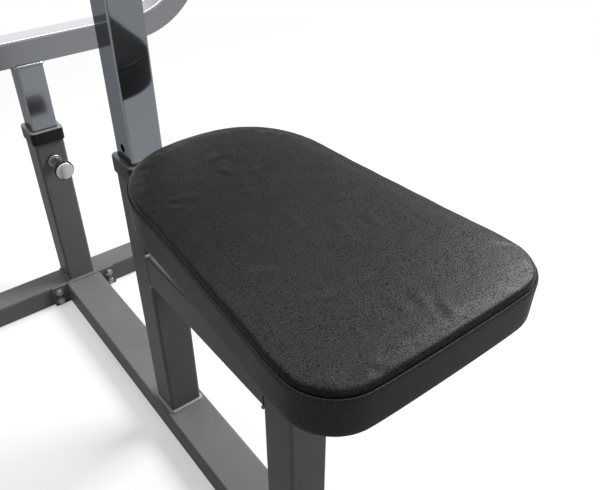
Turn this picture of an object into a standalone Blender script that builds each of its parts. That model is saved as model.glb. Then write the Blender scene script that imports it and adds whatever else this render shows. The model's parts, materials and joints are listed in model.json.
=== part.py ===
"""Preacher bench: a steel frame with a fixed padded seat, an arm pad and a bar rest that slide up and down.

Metres, +Z up, +Y from the seat towards the bar rest, +X to the user's right. The origin is on the floor,
midway along the base. The frame is welded and bolted rectangular tube. The arm pad and the bar rest stand on
inner posts that slide in plastic sleeves, and a pull pin locks each post in one of a row of holes.
"""
import math

import bmesh
import bpy
from mathutils import Euler, Matrix, Vector

# Gap kept between pieces that touch or pass through each other
GAP = 0.0003

# Tube of the welded frame
TUBE_WALL = 0.003
CORNER_RADIUS = 0.005
LEAST_RADIUS = 0.0004

# Floor frame
BASE_SPACING = 1.092
CROSS_LENGTH = 0.600
CROSS_DEPTH = 0.060
FRAME_HEIGHT = 0.050
BEAM_WIDTH = 0.080
FLANGE_THICKNESS = 0.006
FLANGE_MARGIN = 0.014
FLANGE_BOLT_OFFSET = 0.021
FLANGE_BOLT_RISE = 0.024

# Push-in end caps
CAP_THICKNESS = 0.004
CAP_ROUNDING = 0.0012
CAP_PLUG = 0.022
CAP_WALL = 0.002

# Inner posts
POST_WIDTH = 0.050
POST_DEPTH = 0.050
POST_WALL = 0.0025
ARM_POST_TOP = 0.895
ARM_POST_TAIL = 0.210
BAR_POST_TAIL = 0.180
GLIDE_THICKNESS = 0.006
GLIDE_CHAMFER = 0.001

# Places and heights of the standing tubes, and the beam under the seat
MIDDLE_Y = 0.057
SEAT_POST_Y = -0.312
MIDDLE_TOP = 0.562
FRONT_TOP = 0.423
SEAT_BEAM_LOW = 0.353
SEAT_BEAM_HEIGHT = 0.060

# Plastic sleeves on top of the outer tubes
SLEEVE_LIP = 0.004
SLEEVE_SKIRT = 0.022
SLEEVE_WALL = 0.0032
SLEEVE_CHAMFER = 0.0012
LINER_LENGTH = 0.035
LINER_WALL = 0.0014

# Rows of holes, and the pull pins that lock into them
HOLE_PITCH = 0.025
HOLE_PLAY = 0.0005
MIDDLE_PIN_DROP = 0.052
FRONT_PIN_DROP = 0.063
ARM_STEPS_DOWN = 3
ARM_STEPS_UP = 3
BAR_STEPS_DOWN = 2
BAR_STEPS_UP = 4
PIN_RADIUS = 0.006
PIN_BEVEL = 0.002
PIN_BITE = 0.004
PIN_TRAVEL = 0.010
ROD_RADIUS = 0.004
SPRING_ROOM = 0.006
HOUSING_LENGTH = 0.032
HOUSING_WALL = 0.0032
HOUSING_COLLAR = 0.003
BOSS_WALL = 0.004
BOSS_LENGTH = 0.009
TURNED_CHAMFER = 0.001

# Knobs of the pull pins
KNOB_RADIUS = 0.0200
KNOB_LENGTH = 0.028
KNOB_NECK_RADIUS = 0.0105
KNOB_NECK_LENGTH = 0.0085
KNOB_FLARE = 0.010
KNOB_ROUNDING = 0.004
KNOB_SOCKET = 0.018
KNOB_CAP_RADIUS = 0.0155
KNOB_CAP_RECESS = 0.0015
KNOB_CAP_DOME = 0.0035

# Covers of both cushions
COVER_HEM = 0.007
COVER_TUCK = 0.001
SEAM_DEPTH = 0.0034
SEAM_LIP = 0.0028
EDGE_ROLL_WIDTH = 0.018

# Seat cushion
SEAT_NOSE = 0.2195
SEAT_TAIL = 0.2230
SEAT_HALF_WIDTH = 0.1248
SEAT_TAPER = 0.071
SEAT_NOSE_LENGTH = 0.142
SEAT_NOSE_POWER = 2.45
SEAT_CORNER = 0.054
SEAT_BOTTOM = 0.6055
SEAT_SEAM = 0.045
SEAT_ROLL = 0.0120
SEAT_CROWN = 0.003
SEAT_BOARD_INSET = 0.014
SEAT_PLATE_WIDTH = 0.150
SEAT_PLATE_LENGTH = 0.200

# Arm pad
PAD_ANGLE = math.radians(40.0)
PAD_WIDTH = 0.600
PAD_DEPTH = 0.300
PAD_CORNER = 0.036
PAD_SEAM = 0.045
PAD_ROLL = 0.014
PAD_CROWN = 0.005
PAD_BOARD_INSET = 0.016
PAD_PLATE_WIDTH = 0.240
PAD_PLATE_DEPTH = 0.150
GUSSET_THICKNESS = 0.005
GUSSET_REACH = 0.040
GUSSET_DROP = 0.030
GUSSET_TOE = 0.010

# Plates, boards and fasteners
PLATE_THICKNESS = 0.005
PLATE_CORNER = 0.012
PLATE_BOLT_MARGIN = 0.020
BOARD_THICKNESS = 0.012
BOLT_RADIUS = 0.004
BOLT_HEAD_RADIUS = 0.0075
BOLT_HEAD_HEIGHT = 0.0053
BOLT_CHAMFER = 0.001
BOLT_HOLD = 0.009
WASHER_RADIUS = 0.009
WASHER_THICKNESS = 0.0016

# Bar rest
YOKE_SIZE = 0.050
YOKE_HEIGHT = 0.586
YOKE_STRAIGHT = 0.220
YOKE_BEND = 0.155
YOKE_TOP = 0.900
HOOK_BELOW_TOP = 0.038
HOOK_THICKNESS = 0.006
HOOK_RADIUS = 0.020
HOOK_LEG = 0.026
HOOK_LIP = 0.018
HOOK_FLARE = 0.003
HOOK_LINER_THICKNESS = 0.003
HOOK_LINER_MARGIN = 0.002

# Values that follow from the ones above
POST_INSET = TUBE_WALL + LINER_WALL + 2 * GAP
UPRIGHT_WIDTH = POST_WIDTH + 2 * POST_INSET
UPRIGHT_DEPTH = POST_DEPTH + 2 * POST_INSET
FRONT_Y = BASE_SPACING / 2 - SLEEVE_WALL - GAP
FLANGE_BOLT_X = BEAM_WIDTH / 2 + FLANGE_BOLT_OFFSET
FLANGE_WIDTH = 2 * (FLANGE_BOLT_X + FLANGE_MARGIN)
MIDDLE_PIN_Z = MIDDLE_TOP - MIDDLE_PIN_DROP
FRONT_PIN_Z = FRONT_TOP - FRONT_PIN_DROP
SEAT_PLATE_TOP = SEAT_BOTTOM - GAP
SEAT_POST_TOP = SEAT_PLATE_TOP - PLATE_THICKNESS - GAP
BAR_POST_TOP = YOKE_HEIGHT - YOKE_SIZE / 2 - GAP
YOKE_ARM_X = YOKE_STRAIGHT + YOKE_BEND
HOLE_RADIUS = PIN_RADIUS + HOLE_PLAY
PIN_BORE_RADIUS = PIN_RADIUS + GAP
ROD_BORE_RADIUS = ROD_RADIUS + GAP
BOLT_HOLE_RADIUS = BOLT_RADIUS + GAP
CUT_MARGIN = 0.002

# Turns that point a piece's own Z axis along a world axis
ALONG_X = (0, math.radians(90), 0)
ALONG_Y = (math.radians(-90), 0, 0)
AGAINST_X = (0, math.radians(-90), 0)
AGAINST_Y = (math.radians(90), 0, 0)
UPRIGHT = (0, 0, 0)

# Colour, roughness and metallic value of each finish
FINISHES = {
    "painted": ((0.058, 0.058, 0.061, 1.0), 0.45, 0.2),
    "polished": ((0.20, 0.21, 0.23, 1.0), 0.15, 0.9),
    "satin": ((0.22, 0.22, 0.22, 1.0), 0.35, 0.6),
    "plastic": ((0.02, 0.02, 0.021, 1.0), 0.5, 0.0),
    "leather": ((0.035, 0.035, 0.036, 1.0), 0.6, 0.0),
    "plywood": ((0.42, 0.28, 0.15, 1.0), 0.8, 0.0),
    "metal": ((0.46, 0.46, 0.46, 1.0), 0.3, 1.0),
}


def clear_scene():
    """Removes whatever the scene holds before the bench is built."""
    for obj in list(bpy.data.objects):
        bpy.data.objects.remove(obj, do_unlink=True)


def make_material(name, finish):
    """One plain Principled material, for one object."""
    colour, roughness, metallic = FINISHES[finish]
    material = bpy.data.materials.new(name)
    material.use_nodes = True
    shader = material.node_tree.nodes["Principled BSDF"]
    shader.inputs["Base Color"].default_value = colour
    shader.inputs["Roughness"].default_value = roughness
    shader.inputs["Metallic"].default_value = metallic
    return material


def add_object(name, bm, finish, location=(0, 0, 0), rotation=UPRIGHT, parent=None, smooth=True):
    """Turns a bmesh into a named object with outward faces, its own material and its place."""
    bmesh.ops.recalc_face_normals(bm, faces=bm.faces)
    mesh = bpy.data.meshes.new(name)
    bm.to_mesh(mesh)
    bm.free()
    if smooth:
        mesh.shade_smooth()
        mesh.set_sharp_from_angle(angle=math.radians(35))
    obj = bpy.data.objects.new(name, mesh)
    bpy.context.scene.collection.objects.link(obj)
    mesh.materials.append(make_material(name, finish))
    obj.location = location
    obj.rotation_euler = rotation
    obj.parent = parent
    return obj


def add_empty(name, location, rotation=UPRIGHT):
    """An empty that stands for a moving body, on its joint's axis."""
    empty = bpy.data.objects.new(name, None)
    empty.location = location
    empty.rotation_euler = rotation
    bpy.context.scene.collection.objects.link(empty)
    return empty


def placement(location, rotation):
    """The matrix that add_object gives a piece with this location and rotation."""
    return Matrix.LocRotScale(Vector(location), Euler(rotation), None)


def cut(obj, tool):
    """Cuts a tool out of an object with an exact Boolean."""
    tool.hide_render = True
    tool.display_type = "WIRE"
    tool.parent = obj.parent
    modifier = obj.modifiers.new(tool.name, "BOOLEAN")
    modifier.operation = "DIFFERENCE"
    modifier.solver = "EXACT"
    modifier.object = tool


def rounded_rectangle(width, height, radius, steps=3):
    """Points of a rectangle with round corners, counter-clockwise about the origin."""
    radius = max(min(radius, 0.49 * width, 0.49 * height), LEAST_RADIUS)
    points = []
    corners = ((1, 1, 0.0), (-1, 1, 0.5), (-1, -1, 1.0), (1, -1, 1.5))
    for sign_x, sign_y, start in corners:
        for step in range(steps + 1):
            angle = math.pi * (start + 0.5 * step / steps)
            x = sign_x * (width / 2 - radius) + radius * math.cos(angle)
            y = sign_y * (height / 2 - radius) + radius * math.sin(angle)
            points.append((x, y))
    return points


def loft(rings, loop=False):
    """A closed body through rings of equally many points: capped at both ends, or joined back to the first."""
    bm = bmesh.new()
    layers = [[bm.verts.new(point) for point in ring] for ring in rings]
    count = len(layers[0])
    pairs = list(zip(layers, layers[1:]))
    if loop:
        pairs.append((layers[-1], layers[0]))
    else:
        bm.faces.new(layers[0])
        bm.faces.new(layers[-1])
    for lower, upper in pairs:
        for i in range(count):
            j = (i + 1) % count
            bm.faces.new((lower[i], lower[j], upper[j], upper[i]))
    return bm


def flat_ring(points, z):
    """A ring of plan points at one height."""
    return [Vector((x, y, z)) for x, y in points]


def extruded(points, low, high):
    """A flat outline in XY, extruded along Z."""
    return loft([flat_ring(points, low), flat_ring(points, high)])


def turned(profile, segments=24, loop=False):
    """A turned piece about Z from (radius, height) pairs: solid from end to end, or a ring with a bore."""
    rings = []
    for radius, height in profile:
        ring = []
        for step in range(segments):
            angle = 2 * math.pi * step / segments
            ring.append(Vector((radius * math.cos(angle), radius * math.sin(angle), height)))
        rings.append(ring)
    return loft(rings, loop)


def hollow_tube(width, depth, wall, low, high, slope=0.0):
    """A rectangular tube along Z. Its top may be mitred: it falls by slope for each metre of +Y."""
    outer = rounded_rectangle(width, depth, CORNER_RADIUS)
    inner = rounded_rectangle(width - 2 * wall, depth - 2 * wall, CORNER_RADIUS - wall)

    def ring(points, z, fall):
        return [Vector((x, y, z - fall * y)) for x, y in points]

    rings = [ring(outer, low, 0), ring(outer, high, slope), ring(inner, high, slope), ring(inner, low, 0)]
    return loft(rings, loop=True)


def cylinder_tool(name, radius, low, high, location, rotation):
    """A round cutter along its own Z axis."""
    bm = turned([(radius, low), (radius, high)], segments=16)
    return add_object(name, bm, "metal", location, rotation, smooth=False)


def plug_cap(width, height):
    """A push-in end cap: a domed plate as large as the tube, and a hollow plug that fills its bore."""
    plug_width = width - 2 * TUBE_WALL - 2 * GAP
    plug_height = height - 2 * TUBE_WALL - 2 * GAP
    plate = rounded_rectangle(width, height, CORNER_RADIUS)
    top = rounded_rectangle(width - 2 * CAP_ROUNDING, height - 2 * CAP_ROUNDING, CORNER_RADIUS - CAP_ROUNDING)
    plug = rounded_rectangle(plug_width, plug_height, CORNER_RADIUS - TUBE_WALL)
    hollow = rounded_rectangle(plug_width - 2 * CAP_WALL, plug_height - 2 * CAP_WALL, LEAST_RADIUS)
    return loft([
        flat_ring(top, CAP_THICKNESS),
        flat_ring(plate, CAP_THICKNESS - CAP_ROUNDING),
        flat_ring(plate, GAP),
        flat_ring(plug, GAP),
        flat_ring(plug, -CAP_PLUG),
        flat_ring(hollow, -CAP_PLUG),
        flat_ring(hollow, GAP),
    ])


def with_midpoints(ring):
    """Adds the middle of each side, so that a hexagon can meet a ring of twelve points."""
    points = []
    for first, second in zip(ring, ring[1:] + ring[:1]):
        points.append(first)
        points.append((first + second) / 2)
    return points


def hexagon(radius):
    """Corners of a hexagon."""
    return [(radius * math.cos(math.pi / 3 * k), radius * math.sin(math.pi / 3 * k)) for k in range(6)]


def bolt_bmesh(grip):
    """A hex bolt with its washer: the head is below Z = 0 and the shank rises to grip."""
    head_high = -WASHER_THICKNESS
    head_low = head_high - BOLT_HEAD_HEIGHT
    rings = [
        with_midpoints(flat_ring(hexagon(BOLT_HEAD_RADIUS - BOLT_CHAMFER), head_low)),
        with_midpoints(flat_ring(hexagon(BOLT_HEAD_RADIUS), head_low + BOLT_CHAMFER)),
        with_midpoints(flat_ring(hexagon(BOLT_HEAD_RADIUS), head_high)),
    ]
    round_part = (
        (WASHER_RADIUS, head_high),
        (WASHER_RADIUS, 0.0),
        (BOLT_RADIUS, 0.0),
        (BOLT_RADIUS, grip - BOLT_CHAMFER),
        (BOLT_RADIUS - BOLT_CHAMFER, grip),
    )
    for radius, height in round_part:
        circle = [(radius * math.cos(math.pi / 6 * k), radius * math.sin(math.pi / 6 * k)) for k in range(12)]
        rings.append(flat_ring(circle, height))
    return loft(rings)


def bolt_pattern(width, depth):
    """The four corners of a bolt pattern."""
    return [(sx * width / 2, sy * depth / 2) for sx in (-1, 1) for sy in (-1, 1)]


def add_bolts(name, grip, places, location, rotation=UPRIGHT, parent=None):
    """One bolt at each place of a pattern, pushed in along the pattern's own Z axis."""
    pattern = placement(location, rotation)
    for number, (x, y) in enumerate(places, start=1):
        place = pattern @ Vector((x, y, 0))
        add_object(f"{name}_{number}", bolt_bmesh(grip), "metal", place, rotation, parent, smooth=False)


def build_cross_tube(side, sign, facing):
    """One end of the base: the cross tube with its caps, and the beam's flange with the bolts through both.

    facing turns Z towards the cross tube.
    """
    cross_y = sign * BASE_SPACING / 2
    middle_z = FRAME_HEIGHT / 2
    half = CROSS_LENGTH / 2 - CAP_THICKNESS
    tube = hollow_tube(FRAME_HEIGHT, CROSS_DEPTH, TUBE_WALL, -half, half)
    cross_tube = add_object(side + "_cross_tube", tube, "painted", (0, cross_y, middle_z), ALONG_X)

    face_y = cross_y - sign * (CROSS_DEPTH / 2 + GAP)
    outline = rounded_rectangle(FLANGE_WIDTH, FRAME_HEIGHT, CORNER_RADIUS / 2)
    flange = add_object(side + "_flange", extruded(outline, -FLANGE_THICKNESS, 0), "painted",
                        (0, face_y, middle_z), facing)
    places = bolt_pattern(2 * FLANGE_BOLT_X, FLANGE_BOLT_RISE)
    pattern = placement((0, face_y, middle_z), facing)
    deep = GAP + TUBE_WALL + CUT_MARGIN
    for number, (x, y) in enumerate(places):
        place = pattern @ Vector((x, y, 0))
        tool = cylinder_tool(f"{side}_hole_{number}", BOLT_HOLE_RADIUS, -FLANGE_THICKNESS - CUT_MARGIN, deep,
                             place, facing)
        cut(flange, tool)
        cut(cross_tube, tool)
    head_y = face_y - sign * (FLANGE_THICKNESS + GAP)
    grip = FLANGE_THICKNESS + 2 * GAP + TUBE_WALL + BOLT_HOLD
    add_bolts(side + "_flange_bolt", grip, places, (0, head_y, middle_z), facing)
    for end, direction, turn in (("left", -1, AGAINST_X), ("right", 1, ALONG_X)):
        cap = plug_cap(FRAME_HEIGHT, CROSS_DEPTH)
        add_object(f"{side}_{end}_end_cap", cap, "plastic", (direction * half, cross_y, middle_z), turn)


def build_floor_frame():
    """Base beam along the bench, and a bolted cross tube at each end of it."""
    end = BASE_SPACING / 2 - CROSS_DEPTH / 2 - FLANGE_THICKNESS - 2 * GAP
    beam = hollow_tube(BEAM_WIDTH, FRAME_HEIGHT, TUBE_WALL, -end, end)
    add_object("base_beam", beam, "painted", (0, 0, FRAME_HEIGHT / 2), ALONG_Y)
    build_cross_tube("front", 1, ALONG_Y)
    build_cross_tube("rear", -1, AGAINST_Y)


def build_outer_tube(name, y, top, pin_place, pin_turn):
    """A standing tube that an inner post slides in, with the hole for its pull pin."""
    tube = hollow_tube(UPRIGHT_WIDTH, UPRIGHT_DEPTH, TUBE_WALL, FRAME_HEIGHT + GAP, top)
    outer_tube = add_object(name, tube, "painted", (0, y, 0))
    reach = TUBE_WALL + CUT_MARGIN
    cut(outer_tube, cylinder_tool(name + "_pin_hole", HOLE_RADIUS, -reach, CUT_MARGIN, pin_place, pin_turn))


def build_seat_support():
    """The tube under the seat, and the beam from it to the middle upright."""
    tube = hollow_tube(UPRIGHT_WIDTH, UPRIGHT_DEPTH, TUBE_WALL, FRAME_HEIGHT + GAP, SEAT_POST_TOP)
    add_object("seat_upright", tube, "painted", (0, SEAT_POST_Y, 0))
    rear_end = SEAT_POST_Y + UPRIGHT_DEPTH / 2 + GAP
    front_end = MIDDLE_Y - UPRIGHT_DEPTH / 2 - GAP
    half = (front_end - rear_end) / 2
    beam = hollow_tube(UPRIGHT_WIDTH, SEAT_BEAM_HEIGHT, TUBE_WALL, -half, half)
    place = (0, (front_end + rear_end) / 2, SEAT_BEAM_LOW + SEAT_BEAM_HEIGHT / 2)
    add_object("seat_beam", beam, "painted", place, ALONG_Y)


def sleeve_bmesh():
    """Plastic sleeve: a skirt round the tube's end, a lip over it and a liner down its bore, Z = 0 at the end."""
    def ring(offset, z):
        width = UPRIGHT_WIDTH + 2 * offset
        depth = UPRIGHT_DEPTH + 2 * offset
        return flat_ring(rounded_rectangle(width, depth, CORNER_RADIUS + offset), z)

    skirt = GAP + SLEEVE_WALL
    liner = -TUBE_WALL - GAP
    bore = liner - LINER_WALL
    lead_in = SLEEVE_CHAMFER / 2
    return loft([
        ring(skirt, -SLEEVE_SKIRT),
        ring(skirt, SLEEVE_LIP - SLEEVE_CHAMFER),
        ring(skirt - SLEEVE_CHAMFER, SLEEVE_LIP),
        ring(bore + lead_in, SLEEVE_LIP),
        ring(bore, SLEEVE_LIP - lead_in),
        ring(bore, -LINER_LENGTH),
        ring(liner, -LINER_LENGTH),
        ring(liner, GAP),
        ring(GAP, GAP),
        ring(GAP, -SLEEVE_SKIRT),
    ], loop=True)


def housing_profile():
    """Pin housing: a boss on the tube, a barrel, and a stepped bore whose collar holds the spring in."""
    barrel = PIN_BORE_RADIUS + HOUSING_WALL
    boss = barrel + BOSS_WALL
    return [
        (PIN_BORE_RADIUS, GAP),
        (boss, GAP),
        (boss, BOSS_LENGTH - TURNED_CHAMFER),
        (boss - TURNED_CHAMFER, BOSS_LENGTH),
        (barrel, BOSS_LENGTH),
        (barrel, HOUSING_LENGTH - TURNED_CHAMFER),
        (barrel - TURNED_CHAMFER, HOUSING_LENGTH),
        (ROD_BORE_RADIUS, HOUSING_LENGTH),
        (ROD_BORE_RADIUS, HOUSING_LENGTH - HOUSING_COLLAR),
        (PIN_BORE_RADIUS, HOUSING_LENGTH - HOUSING_COLLAR),
    ]


def pin_profile(knob_low):
    """Pull pin: a bevelled nose in the post's hole, a shoulder for the spring, and a rod up into the knob."""
    nose = -(POST_INSET + POST_WALL + PIN_BITE)
    shoulder = HOUSING_LENGTH - HOUSING_COLLAR - PIN_TRAVEL - SPRING_ROOM
    rod_end = knob_low + KNOB_SOCKET - GAP
    return [
        (PIN_RADIUS - PIN_BEVEL, nose),
        (PIN_RADIUS, nose + PIN_BEVEL),
        (PIN_RADIUS, shoulder),
        (ROD_RADIUS, shoulder),
        (ROD_RADIUS, rod_end - TURNED_CHAMFER),
        (ROD_RADIUS - TURNED_CHAMFER, rod_end),
    ]


def knob_profile(knob_low):
    """Knob: a neck that widens in an S to the grip, a socket for the rod and a recess for the cap."""
    knob_high = knob_low + KNOB_LENGTH
    recess = KNOB_CAP_RADIUS + GAP
    profile = [
        (ROD_BORE_RADIUS, knob_low + KNOB_SOCKET),
        (ROD_BORE_RADIUS, knob_low),
        (KNOB_NECK_RADIUS, knob_low),
    ]
    flare_steps = 4
    for step in range(flare_steps + 1):
        share = step / flare_steps
        widening = (1 - math.cos(math.pi * share)) / 2
        radius = KNOB_NECK_RADIUS + (KNOB_RADIUS - KNOB_NECK_RADIUS) * widening
        profile.append((radius, knob_low + KNOB_NECK_LENGTH + KNOB_FLARE * share))
    rounding_steps = 2
    for step in range(rounding_steps + 1):
        angle = math.pi / 2 * step / rounding_steps
        radius = KNOB_RADIUS - KNOB_ROUNDING * (1 - math.cos(angle))
        profile.append((radius, knob_high - KNOB_ROUNDING * (1 - math.sin(angle))))
    profile.append((recess, knob_high))
    profile.append((recess, knob_high - KNOB_CAP_RECESS))
    return profile


def knob_cap_profile(knob_high):
    """Domed metal cap in the knob's recess."""
    profile = [(KNOB_CAP_RADIUS, knob_high - KNOB_CAP_RECESS + GAP)]
    dome_steps = 4
    for step in range(dome_steps):
        angle = math.pi / 2 * step / dome_steps
        profile.append((KNOB_CAP_RADIUS * math.cos(angle), knob_high + KNOB_CAP_DOME * math.sin(angle)))
    return profile


def build_pull_pin(side, mouth, turn):
    """Housing on the tube, and the moving pin, knob and knob cap. Local Z runs out of the tube from its face."""
    add_object(side + "_pin_housing", turned(housing_profile(), loop=True), "metal", mouth, turn)
    body = add_empty(side + "_pin_body", mouth, turn)
    knob_low = HOUSING_LENGTH + GAP
    add_object(side + "_pull_pin", turned(pin_profile(knob_low)), "metal", parent=body)
    add_object(side + "_pin_knob", turned(knob_profile(knob_low), 32), "plastic", parent=body)
    cap = turned(knob_cap_profile(knob_low + KNOB_LENGTH), 32)
    add_object(side + "_knob_cap", cap, "metal", parent=body)


def build_middle_upright():
    """Outer tube of the arm pad's post, with its sleeve and its pull pin on the right."""
    mouth = (UPRIGHT_WIDTH / 2, MIDDLE_Y, MIDDLE_PIN_Z)
    build_outer_tube("middle_upright", MIDDLE_Y, MIDDLE_TOP, mouth, ALONG_X)
    add_object("middle_sleeve", sleeve_bmesh(), "plastic", (0, MIDDLE_Y, MIDDLE_TOP))
    build_pull_pin("middle", mouth, ALONG_X)


def build_front_upright():
    """Outer tube of the bar rest's post, with its sleeve and its pull pin on the rear."""
    mouth = (0, FRONT_Y - UPRIGHT_DEPTH / 2, FRONT_PIN_Z)
    build_outer_tube("front_upright", FRONT_Y, FRONT_TOP, mouth, AGAINST_Y)
    add_object("front_sleeve", sleeve_bmesh(), "plastic", (0, FRONT_Y, FRONT_TOP))
    build_pull_pin("front", mouth, AGAINST_Y)


def glide_bmesh():
    """Plastic guide on the lower end of an inner post: a foot that fits the bore, and a plug up the post."""
    foot_width = UPRIGHT_WIDTH - 2 * TUBE_WALL - 2 * GAP
    foot_depth = UPRIGHT_DEPTH - 2 * TUBE_WALL - 2 * GAP
    plug_width = POST_WIDTH - 2 * POST_WALL - 2 * GAP
    plug_depth = POST_DEPTH - 2 * POST_WALL - 2 * GAP
    foot_radius = CORNER_RADIUS - TUBE_WALL
    foot = rounded_rectangle(foot_width, foot_depth, foot_radius)
    sole = rounded_rectangle(foot_width - 2 * GLIDE_CHAMFER, foot_depth - 2 * GLIDE_CHAMFER,
                             foot_radius - GLIDE_CHAMFER)
    plug = rounded_rectangle(plug_width, plug_depth, CORNER_RADIUS - POST_WALL)
    hollow = rounded_rectangle(plug_width - 2 * CAP_WALL, plug_depth - 2 * CAP_WALL, LEAST_RADIUS)
    return loft([
        flat_ring(sole, -GLIDE_THICKNESS),
        flat_ring(foot, -GLIDE_THICKNESS + GLIDE_CHAMFER),
        flat_ring(foot, -GAP),
        flat_ring(plug, -GAP),
        flat_ring(plug, CAP_PLUG),
        flat_ring(hollow, CAP_PLUG),
        flat_ring(hollow, CAP_WALL),
    ])


def build_post(name, body, low, high, pin_z, steps, turn, hole_depth, slope=0.0):
    """An inner post with its row of locking holes, cut from the side that turn points to, and its glide.

    steps is how many holes it slides down and up. Each hole is cut from the post's face to hole_depth under it.
    """
    tube = hollow_tube(POST_WIDTH, POST_DEPTH, POST_WALL, low, high, slope)
    post = add_object(name + "_post", tube, "polished", parent=body)
    face = POST_WIDTH / 2 if turn == ALONG_X else POST_DEPTH / 2
    steps_down, steps_up = steps
    for step in range(-steps_up, steps_down + 1):
        place = (0, 0, pin_z + step * HOLE_PITCH)
        tool = cylinder_tool(f"{name}_hole_{step + steps_up}", HOLE_RADIUS, face - hole_depth - CUT_MARGIN,
                             face + CUT_MARGIN, place, turn)
        cut(post, tool)


def cushion_bmesh(outline, bottom, seam, roll, crown, board_inset):
    """A covered cushion over a board: recessed underneath, drawn-in side band, sewn groove, rolled edge, crown.

    outline(inset) gives its plan points, all in by inset. Heights: bottom is the underside, seam the height of
    the side band, roll the rise of the edge above the seam and crown the further rise to the middle.
    """
    sew = bottom + seam
    lip_inset = SEAM_DEPTH / 3
    side = [
        (board_inset - GAP, bottom + BOARD_THICKNESS + GAP),
        (board_inset - GAP, bottom),
        (COVER_HEM, bottom),
        (1.8 * COVER_TUCK, bottom + 0.8 * COVER_TUCK),
        (COVER_TUCK, bottom + 3 * COVER_TUCK),
        (0.8 * COVER_TUCK, bottom + seam / 2),
        (0.2 * COVER_TUCK, sew - 2 * SEAM_LIP),
        (0.0, sew - SEAM_LIP),
        (0.2 * SEAM_DEPTH, sew - 0.4 * SEAM_LIP),
        (SEAM_DEPTH, sew),
    ]
    roll_steps = 5
    for step in range(roll_steps + 1):
        angle = math.pi / 2 * step / roll_steps
        inset = lip_inset + EDGE_ROLL_WIDTH * (1 - math.cos(angle))
        start = 0.6 * SEAM_LIP
        side.append((inset, sew + start + (roll - start) * math.sin(angle)))
    rings = [flat_ring(outline(inset), z) for inset, z in side]

    edge = rings[-1]
    centre = sum(edge, Vector()) / len(edge)
    for scale in (0.80, 0.55, 0.28):
        height = sew + roll + crown * (1 - scale ** 2)
        ring = []
        for point in edge:
            spot = centre + (point - centre) * scale
            ring.append(Vector((spot.x, spot.y, height)))
        rings.append(ring)
    return loft(rings)


def seat_outline(inset):
    """Plan of the seat about its upright: a blunt round nose, sides that spread to the rear, round corners."""
    lean = math.atan(SEAT_TAPER)
    shoulder_y = SEAT_NOSE - SEAT_NOSE_LENGTH

    def half_width(y):
        return SEAT_HALF_WIDTH + SEAT_TAPER * (shoulder_y - y) - inset / math.cos(lean)

    half = []
    nose_steps = 10
    for step in range(nose_steps):
        angle = math.pi / 2 * step / nose_steps
        x = half_width(shoulder_y) * math.sin(angle) ** (2 / SEAT_NOSE_POWER)
        y = shoulder_y + (SEAT_NOSE_LENGTH - inset) * math.cos(angle) ** (2 / SEAT_NOSE_POWER)
        half.append((x, y))

    rear = -SEAT_TAIL + inset
    radius = max(SEAT_CORNER - inset, LEAST_RADIUS)
    corner_y = rear + radius
    corner_x = half_width(corner_y) - radius / math.cos(lean)
    side_end = corner_y - radius * math.sin(lean)
    side_steps = 3
    for step in range(side_steps):
        y = shoulder_y + (side_end - shoulder_y) * step / side_steps
        half.append((half_width(y), y))
    corner_steps = 6
    for step in range(corner_steps + 1):
        angle = -lean - (math.pi / 2 - lean) * step / corner_steps
        half.append((corner_x + radius * math.cos(angle), corner_y + radius * math.sin(angle)))
    half.append((corner_x / 2, rear))
    return half + [(-x, y) for x, y in reversed(half[1:])]


def pad_outline(inset):
    """Plan of the arm pad: a long rectangle with round corners, and points along its straight edges."""
    corners = rounded_rectangle(PAD_WIDTH - 2 * inset, PAD_DEPTH - 2 * inset, PAD_CORNER - inset, steps=6)
    straight = (PAD_DEPTH - 2 * PAD_CORNER) / 2
    points = []
    for start, end in zip(corners, corners[1:] + corners[:1]):
        length = math.dist(start, end)
        pieces = max(1, round(length / straight))
        for piece in range(pieces):
            share = piece / pieces
            points.append((start[0] + (end[0] - start[0]) * share, start[1] + (end[1] - start[1]) * share))
    return points


def drilled(name, outline, low, high, places, depth, finish, location, rotation=UPRIGHT, parent=None):
    """A board or plate with a bolt hole at each place, depth deep from its underside."""
    board = add_object(name, extruded(outline, low, high), finish, location, rotation, parent, smooth=False)
    pattern = placement(location, rotation)
    for number, (x, y) in enumerate(places):
        place = pattern @ Vector((x, y, low))
        tool = cylinder_tool(f"{name}_hole_{number}", BOLT_HOLE_RADIUS, -CUT_MARGIN, depth, place, rotation)
        cut(board, tool)


def build_seat():
    """Plate on the seat upright, board, cushion and the bolts that hold them together."""
    places = bolt_pattern(SEAT_PLATE_WIDTH - 2 * PLATE_BOLT_MARGIN, SEAT_PLATE_LENGTH - 2 * PLATE_BOLT_MARGIN)
    plate = rounded_rectangle(SEAT_PLATE_WIDTH, SEAT_PLATE_LENGTH, PLATE_CORNER)
    drilled("seat_plate", plate, -PLATE_THICKNESS, 0, places, PLATE_THICKNESS + CUT_MARGIN, "painted",
            (0, SEAT_POST_Y, SEAT_PLATE_TOP))
    drilled("seat_board", seat_outline(SEAT_BOARD_INSET), 0, BOARD_THICKNESS, places, BOLT_HOLD + GAP, "plywood",
            (0, SEAT_POST_Y, SEAT_BOTTOM))
    cushion = cushion_bmesh(seat_outline, SEAT_BOTTOM, SEAT_SEAM, SEAT_ROLL, SEAT_CROWN, SEAT_BOARD_INSET)
    add_object("seat_cushion", cushion, "leather", (0, SEAT_POST_Y, 0))
    bolt_z = SEAT_PLATE_TOP - PLATE_THICKNESS - GAP
    add_bolts("seat_bolt", PLATE_THICKNESS + 2 * GAP + BOLT_HOLD, places, (0, SEAT_POST_Y, bolt_z))


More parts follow.
